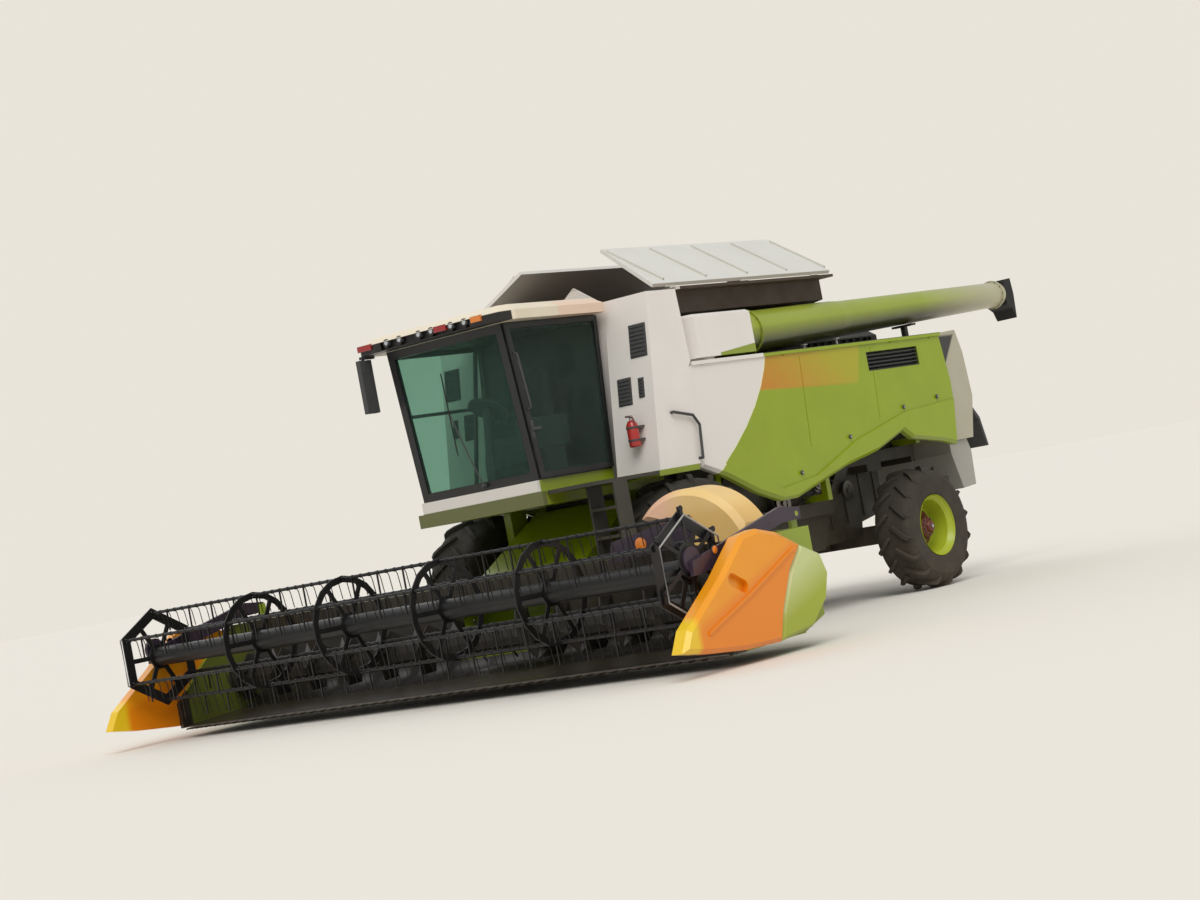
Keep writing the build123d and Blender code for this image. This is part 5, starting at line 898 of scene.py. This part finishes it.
@dataclass
class ReelTines:
    """Spring tines between those of the solid bars, one joined mesh a bar."""

    bars: int = 6
    pitch: float = 0.12
    reach: float = 0.21
    wire: float = 0.005

    def build(self) -> None:
        """Makes the tines of each bar."""
        for number in range(1, self.bars + 1):
            low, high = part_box(f"tine_bar_{number}")
            bar_z = low.z + self.reach
            middle = (low.y + high.y) / 2
            shape = Shape()
            count = int((high.x - low.x - 0.2) / self.pitch)
            for tine in range(count):
                x = (low.x + high.x) / 2 + (tine - (count - 1) / 2) * self.pitch
                top = Vector((x, middle, bar_z))
                bend, tip = Vector((0.012, 0.012, -0.05)), Vector((0.012, 0.03, 0.01 - self.reach))
                shape.tube([top, top + bend, top + tip], self.wire, TINE_STEEL, sides=5)
                frame_at = turned(top + Vector((-0.008, 0, 0)), (1, 0, 0))
                shape.lathe([(-0.012, 0.0215), (0.012, 0.0215)], frame_at, REEL_ENAMEL, sides=8)
            shape.place(f"spring_tines_{number}", f"tine_bar_{number}")


@dataclass
class TableTrim:
    """Guards between the solid ones of the cutting table, and the reflectors of the reel arms."""

    guards: int = 48
    pitch: float = 0.1524
    lip: float = -2.705
    low: float = 0.0935

    def build(self) -> None:
        """Makes the guards and the reflectors."""
        shape = Shape()
        for guard in range(self.guards):
            x = (guard - (self.guards - 1) / 2) * self.pitch
            base = [(x - 0.02, 0.0), (x + 0.02, 0.0), (x + 0.004, -0.12), (x - 0.004, -0.12)]
            outline = [(along, at(0, self.lip + back, 0).y) for along, back in base]
            shape.prism(outline, Matrix.Identity(4), self.low, self.low + 0.014, WORN_STEEL)
        shape.place("knife_guards", "table", bevel=0.001)
        for side, mirror in MIRRORS:
            shape = Shape()
            frame_at = turned(at(3.788, -2.72, 1.06), (1, 0, 0))
            shape.lathe([(0, 0.042), (0.01, 0.042)], frame_at, BLACK_PLASTIC)
            shape.lathe([(0, 0.036), (0.012, 0.036), (0.016, 0.026)], frame_at, AMBER_LENS)
            shape.place(f"reel_arm_reflector_{side}", "reel_arms", mirror)


@dataclass
class RearLights:
    """Tail lamps on the rear hood."""

    lenses: tuple[tuple[float, Finish], ...] = ((2.3, CLEAR_LENS), (2.4, AMBER_LENS), (2.5, RED_LENS))

    def build(self) -> None:
        """Makes the lamps of both sides."""
        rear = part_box("rear_hood")[1].y - AXLE.y
        for side, mirror in MIRRORS:
            shape = Shape()
            shape.block((1.06, rear - 0.03, 2.28), (1.2, rear - 0.002, 2.62), BLACK_PLASTIC)
            for low, lens in self.lenses:
                shape.block((1.075, rear - 0.01, low), (1.185, rear - 0.0005, low + 0.09), lens)
            shape.place(f"tail_lamps_{side}", "machine", mirror, bevel=0.002)


@dataclass
class TubeTrim:
    """Flanges of the unloading tube, at its root box and at its end."""

    start: Point = (1.25, 1.64, 3.215)
    end: Point = (1.25, 7.24, 3.372)
    # share of the length, radius of the tube there
    flanges: tuple[Pair, ...] = ((0.03, 0.242), (0.985, 0.158))

    def build(self) -> None:
        """Makes the flanges with their bolts."""
        shape = Shape()
        start, end = at(*self.start), at(*self.end)
        run = end - start
        for share, radius in self.flanges:
            frame_at = turned(start + run * share, run)
            inner, outer = radius + 0.001, radius + 0.022
            ring = [(-0.014, inner), (-0.014, outer), (0.014, outer), (0.014, inner)]
            shape.lathe(ring, frame_at, TUBE_ENAMEL, sides=40)
            for x, y in circle(radius + 0.012, 12):
                seat = frame_at @ Matrix.Translation((x, y, 0))
                shape.prism(circle(0.008, 6), seat, -0.022, 0.022, WORN_STEEL)
        shape.place("tube_flanges", "unloader", bevel=0.001)


@dataclass
class Access:
    """Grab rail and handle of the cab's door, and the latches of the side panels.

    Attributes:
        foot: Distance and height of the door's front edge at its foot.
        lean: Run of that edge forward for each metre of height.
        rail_ends: Heights of the rail's two feet.
        latches: Distance and height of each latch.
    """

    foot: Pair = (-1.48, 2.01)
    lean: float = 0.0926
    rail_ends: Pair = (2.72, 3.32)
    latches: tuple[Pair, ...] = ((2.05, 1.60), (3.1, 1.90), (4.3, 2.14), (5.05, 2.2))

    def edge(self, height: float) -> float:
        """Distance of the door's front edge at a height."""
        return self.foot[0] - self.lean * (height - self.foot[1])

    def build(self) -> None:
        """Makes the rail, the handle and the latches."""
        shape = Shape()
        feet = [(self.edge(height) + 0.03, height) for height in self.rail_ends]
        (low_d, low), (high_d, high) = feet
        shape.tube([at(0.85, low_d, low), at(0.9, low_d, low + 0.02), at(0.905, low_d, low + 0.06),
                    at(0.905, high_d, high - 0.06), at(0.9, high_d, high - 0.02), at(0.85, high_d, high)],
                   0.013, BLACK_PLASTIC)
        shape.place("door_rail", "cab_door")
        shape = Shape()
        edge = self.edge(2.53)
        shape.block((0.858, edge + 0.006, 2.44), (0.868, edge + 0.048, 2.62), BLACK_PLASTIC)
        shape.block((0.866, edge + 0.012, 2.515), (0.884, edge + 0.14, 2.545), BLACK_PLASTIC)
        shape.place("door_handle", "cab_door", bevel=0.004)
        for side, mirror in MIRRORS:
            shape = Shape()
            for distance, height in self.latches:
                frame_at = turned(at(1.4995, distance, height), (1, 0, 0))
                shape.lathe([(-0.01, 0.024), (0.003, 0.024), (0.006, 0.018)], frame_at, BLACK_PLASTIC)
                shape.lathe([(0.0, 0.012), (0.008, 0.012), (0.01, 0.006)], frame_at, CHROME, sides=12)
            shape.place(f"panel_latches_{side}", f"side_panel_{side}", mirror)


@dataclass
class TablePipes:
    """Rigid steel oil pipes clipped to the table's back beam, and their coupling block."""

    routes: tuple[tuple[Point, ...], ...] = (
        ((0.95, -1.30, 1.02), (1.4, -1.29, 1.03), (2.1, -1.29, 1.03), (2.9, -1.29, 1.02), (3.6, -1.3, 1.0)),
        ((0.95, -1.30, 0.98), (1.5, -1.29, 0.98), (2.2, -1.29, 0.98), (3.2, -1.29, 0.98), (3.7, -1.3, 0.95)),
    )
    clips: tuple[float, ...] = (1.3, 2.0, 2.75, 3.45)

    def build(self) -> None:
        """Makes the pipes, their clips and the block."""
        shape = Shape()
        for route in self.routes:
            shape.tube([at(*point) for point in route], 0.012, BLACK_PLASTIC)
        shape.block((0.86, -1.33, 0.9), (0.98, -1.22, 1.06), SILVER_ENAMEL)
        for x in self.clips:
            shape.block((x - 0.015, -1.33, 0.955), (x + 0.015, -1.272, 1.05), CHASSIS_ENAMEL)
        shape.place("table_oil_pipes", "table", bevel=0.002)


@dataclass
class ReelEnds:
    """Grey rims on the hexagonal end plates of the reel."""

    axis: Point = (3.75, -3.0, 0.93)
    radius: float = 0.47

    def build(self) -> None:
        """Makes both ends."""
        for side, mirror in MIRRORS:
            shape = Shape()
            x, distance, height = self.axis
            corners = [at(x - 0.004, distance + run, height + rise)
                       for run, rise in circle(self.radius + 0.02, 6, math.radians(30))]
            shape.tube(corners + corners[:2], 0.009, SILVER_ENAMEL, sides=6)
            shape.place(f"reel_end_rim_{side}", "reel", mirror)


@dataclass
class SideDrives:
    """Belts, pulleys and the cleaning shoe's sheets that show under the left side panel.

    Attributes:
        face: Place of the body's side across the machine.
        belts: The belt drives.
        shoe_outline: Distance and height of each corner of a sheet.
        ribs: Distance of each rib of a sheet.
    """

    face: float = 0.905
    # name, distance and height of both shafts, radii of both pulleys, place of the belt outside the face
    belts: tuple[tuple[str, Point, Point, float, float, float], ...] = (
        ("fan", (2.35, 1.30), (3.05, 1.44), 0.13, 0.085, 0.03),
        ("shoe", (3.05, 1.44), (3.62, 1.30), 0.06, 0.11, 0.055),
    )
    shoe_outline: Outline = ((3.3, 0.70), (4.2, 0.74), (4.24, 0.9), (4.75, 0.98), (4.75, 1.6), (3.3, 1.6))
    ribs: tuple[float, ...] = (3.6, 3.95, 4.3, 4.6)

    def build(self) -> None:
        """Makes each belt drive and the shoe's side sheets."""
        for name, near, far, near_radius, far_radius, out in self.belts:
            shape = Shape()
            x = self.face + out
            for (distance, height), radius in ((near, near_radius), (far, far_radius)):
                frame_at = turned(at(x, distance, height), (1, 0, 0))
                flange, groove = radius + 0.006, radius - 0.012
                profile = [
                    (-0.1, 0.022), (-0.018, 0.022), (-0.018, flange), (-0.012, flange), (-0.008, groove),
                    (0.008, groove), (0.012, flange), (0.018, flange), (0.018, 0.6 * radius),
                    (0.006, 0.55 * radius), (0.006, 0.032), (0.03, 0.03), (0.03, 0.0),
                ]
                shape.lathe(profile, frame_at, WORN_STEEL, sides=32)
            self.belt(shape, x, near, far, near_radius, far_radius)
            shape.place(f"{name}_belt_drive", "machine")
        self.shoe()

    def belt(
        self, shape: Shape, x: float, near: Point, far: Point, near_radius: float, far_radius: float
    ) -> None:
        """Adds a flat belt stretched round two pulleys, each given by its shaft and its radius."""
        run, rise = far[0] - near[0], far[1] - near[1]
        heading = math.atan2(rise, run)
        lean = math.asin((near_radius - far_radius) / math.hypot(run, rise))
        rings = []
        for (distance, height), radius, start, end in (
            (far, far_radius, heading - math.pi / 2 + lean, heading + math.pi / 2 - lean),
            (near, near_radius, heading + math.pi / 2 - lean, heading + 1.5 * math.pi + lean),
        ):
            inside = radius - 0.008
            section = ((-0.01, inside), (0.01, inside), (0.01, radius), (-0.01, radius))
            for step in range(13):
                turn = start + (end - start) * step / 12
                rings.append([
                    at(x + side, distance + reach * math.cos(turn), height + reach * math.sin(turn))
                    for side, reach in section
                ])
        shape.loft(rings + rings[:1], SOFT_RUBBER, closed=False)

    def shoe(self) -> None:
        """Makes the cleaning shoe's two ribbed side sheets."""
        shape = Shape()
        for x in (-0.66, 0.65):
            shape.prism(self.shoe_outline, side_plane(x), 0.0, 0.01, CHASSIS_ENAMEL)
            for distance in self.ribs:
                low = 0.86 + 0.12 * (distance - 3.45)
                shape.block((x - 0.012, distance, low), (x + 0.022, distance + 0.03, 1.56), CHASSIS_ENAMEL)
        shape.place("cleaning_shoe", "machine", bevel=0.002)


@dataclass
class Seat:
    """Cloth cushions on the driver's seat."""

    # low x, distance and height, high x, distance and height
    cushions: tuple[tuple[float, ...], ...] = (
        (-0.25, -0.94, 2.52, 0.25, -0.57, 2.6), (-0.24, -0.62, 2.58, 0.24, -0.55, 3.19),
    )

    def build(self) -> None:
        """Makes each cushion."""
        for number, corners in enumerate(self.cushions, 1):
            shape = Shape()
            shape.block(corners[:3], corners[3:], SEAT_CLOTH)
            shape.place(f"seat_cushion_{number}", "machine", bevel=0.03)


@dataclass
class ReelDrive:
    """Guard of the reel's drive over the table's back, with its marker.

    Attributes:
        outline: x and height of each corner of the guard.
        face: Distance of the guard's front face.
    """

    outline: Outline = ((1.72, 1.06), (2.72, 1.12), (2.86, 1.30), (2.80, 1.40), (1.80, 1.27))
    face: float = -1.745

    def build(self) -> None:
        """Makes the guard, its brackets and the marker."""
        shape = Shape()
        frame_at = Matrix(((1, 0, 0, 0), (0, 0, 1, at(0, self.face, 0).y), (0, 1, 0, 0), (0, 0, 0, 1)))
        shape.prism(self.outline, frame_at, 0.0, 0.02, ARM_ENAMEL)
        marker = turned(at(2.17, self.face, 1.2), (0, -1, 0))
        shape.lathe([(-0.004, 0.07), (0.008, 0.07), (0.014, 0.055)], marker, AMBER_LENS, sides=32)
        for x in (1.9, 2.6):
            shape.block((x - 0.03, self.face + 0.015, 1.1), (x + 0.03, -1.34, 1.13), ARM_ENAMEL)
        shape.place("reel_drive_guard", "table", bevel=0.003)


@dataclass
class DeckFittings:
    """Air intake screen on the engine hood, and small brackets on the side deck.

    Attributes:
        low: x and distance of the screen's front corner on the right.
        high: x and distance of its rear corner on the left.
        hood_top: Height of the hood under it.
        border: Width of its two side strips.
        bars: Number of its bars.
        brackets: Distance and top of each bracket.
    """

    low: Pair = (-0.12, 3.74)
    high: Pair = (0.6, 5.1)
    hood_top: float = 3.15
    border: float = 0.06
    bars: int = 26
    brackets: tuple[Pair, ...] = ((2.73, 3.015), (3.38, 3.045))

    def build(self) -> None:
        """Makes the screen, its side strips and the brackets."""
        shape = Shape()
        (right, front), (left, rear) = self.low, self.high
        foot = self.hood_top - 0.004
        for bar in range(self.bars):
            distance = front + (rear - front) * (bar + 0.5) / self.bars
            shape.block((right + self.border, distance - 0.009, foot),
                        (left - self.border, distance + 0.009, self.hood_top + 0.012), BLACK_PLASTIC)
        for x_low, x_high in ((right, right + self.border), (left - self.border, left)):
            shape.block((x_low, front, foot), (x_high, rear, self.hood_top + 0.02), CHASSIS_ENAMEL)
        shape.place("engine_screen", "machine", bevel=0.002)
        shape = Shape()
        for distance, top in self.brackets:
            shape.block((1.33, distance - 0.03, 2.958), (1.39, distance + 0.03, 2.97), GREY_ENAMEL)
            shape.block((1.35, distance - 0.012, 2.96), (1.37, distance + 0.012, top), GREY_ENAMEL)
            shape.block((1.335, distance - 0.035, top - 0.012), (1.385, distance + 0.035, top), GREY_ENAMEL)
        shape.place("deck_brackets", "machine", bevel=0.003)


@dataclass
class Studio:
    """Camera, floor and soft light.

    Attributes:
        camera_place: The camera as x, distance behind the front axle and height.
        azimuth: Direction that the camera stands in, from -Y towards +X, in degrees.
        elevation: Angle of the camera above the level, in degrees.
        roll: Turn of the picture, in degrees.
        lens_mm: Focal length on a 36 mm wide sensor.
        floor_size: Side of the square floor.
        pale: Colour of the floor and the backdrop.
        ambient: Strength of the light from all round.
    """

    camera_place: Point = (17.386, -20.261, 1.553)
    azimuth: float = 39.94
    elevation: float = -1.47
    roll: float = -10.63
    lens_mm: float = 74.56
    floor_size: float = 400.0
    pale: str = "#e9e4da"
    ambient: float = 0.52

    def build(self) -> None:
        """Makes the camera, the floor, the lights and the world."""
        self.camera()
        self.floor()
        self.lights()
        self.world()

    def camera(self) -> None:
        """Sets the camera at the photograph's viewing angle."""
        azimuth, elevation, roll = map(math.radians, (self.azimuth, self.elevation, self.roll))
        back = Vector((
            math.sin(azimuth) * math.cos(elevation),
            -math.cos(azimuth) * math.cos(elevation),
            math.sin(elevation),
        ))
        level = Vector((0, 0, 1)).cross(back).normalized()
        upright = back.cross(level)
        right = math.cos(roll) * level + math.sin(roll) * upright
        up = -math.sin(roll) * level + math.cos(roll) * upright
        data = bpy.data.cameras.new("camera")
        data.lens = self.lens_mm
        data.sensor_width = 36.0
        data.clip_end = 500.0
        camera = bpy.data.objects.new("camera", data)
        columns = Matrix((right, up, back)).transposed().to_4x4()
        camera.matrix_world = Matrix.Translation(at(*self.camera_place)) @ columns
        bpy.context.scene.collection.objects.link(camera)
        bpy.context.scene.camera = camera

    def floor(self) -> None:
        """Lays a plain pale floor."""
        half = self.floor_size / 2
        mesh = bpy.data.meshes.new("floor")
        corners = [(-half, -half, 0), (half, -half, 0), (half, half, 0), (-half, half, 0)]
        mesh.from_pydata(corners, [], [(0, 1, 2, 3)])
        floor = bpy.data.objects.new("floor", mesh)
        bpy.context.scene.collection.objects.link(floor)
        paint = bpy.data.materials.new("studio_floor")
        paint.use_nodes = True
        shader = paint.node_tree.nodes["Principled BSDF"]
        shader.inputs["Base Color"].default_value = linear(self.pale)
        shader.inputs["Roughness"].default_value = 0.9
        shader.inputs["Specular IOR Level"].default_value = 0.1
        mesh.materials.append(paint)

    def lights(self) -> None:
        """Hangs one broad key light and a weaker one from the other side."""
        # name, strength, size in degrees, direction that the light comes from
        lamps = (("key", 1.7, 40, (0.55, -0.55, 0.9)), ("fill", 0.5, 60, (-0.7, 0.3, 0.6)))
        for name, strength, spread, source in lamps:
            data = bpy.data.lights.new(name, "SUN")
            data.energy = strength
            data.angle = math.radians(spread)
            lamp = bpy.data.objects.new(name, data)
            lamp.rotation_euler = Vector(source).to_track_quat("Z", "Y").to_euler()
            bpy.context.scene.collection.objects.link(lamp)

    def world(self) -> None:
        """Lights the object from all round and shows a pale backdrop."""
        world = bpy.data.worlds.new("studio")
        bpy.context.scene.world = world
        world.use_nodes = True
        tree = world.node_tree
        tree.nodes.clear()
        path = node(tree, "LightPath")
        sight = node(
            tree, "Math", {"operation": "MAXIMUM"}, n0=path.outputs["Is Camera Ray"],
            n1=path.outputs["Is Transmission Ray"],
        )
        ambient = node(tree, "Background", Color=linear("#ffffff"), Strength=self.ambient)
        backdrop = node(tree, "Background", Color=linear(self.pale), Strength=1.0)
        mixed = node(tree, "MixShader", n0=sight.outputs[0], n1=ambient.outputs[0], n2=backdrop.outputs[0])
        node(tree, "OutputWorld", Surface=mixed.outputs[0])


def main() -> None:
    """Builds the dressed machine in its studio."""
    logging.basicConfig(level=logging.INFO, format="%(name)s: %(message)s")
    bpy.context.scene.view_settings.view_transform = "Standard"
    Studio().build()
    dress_nodes()
    assemblies = (
        *WHEELS, FrontWall(), CabFittings(), ReelTines(), TableTrim(), RearLights(), TubeTrim(), Access(),
        TablePipes(), ReelEnds(), DeckFittings(), SideDrives(), ReelDrive(), Seat(),
    )
    for assembly in assemblies:
        assembly.build()


if __name__ == "__main__":
    main()
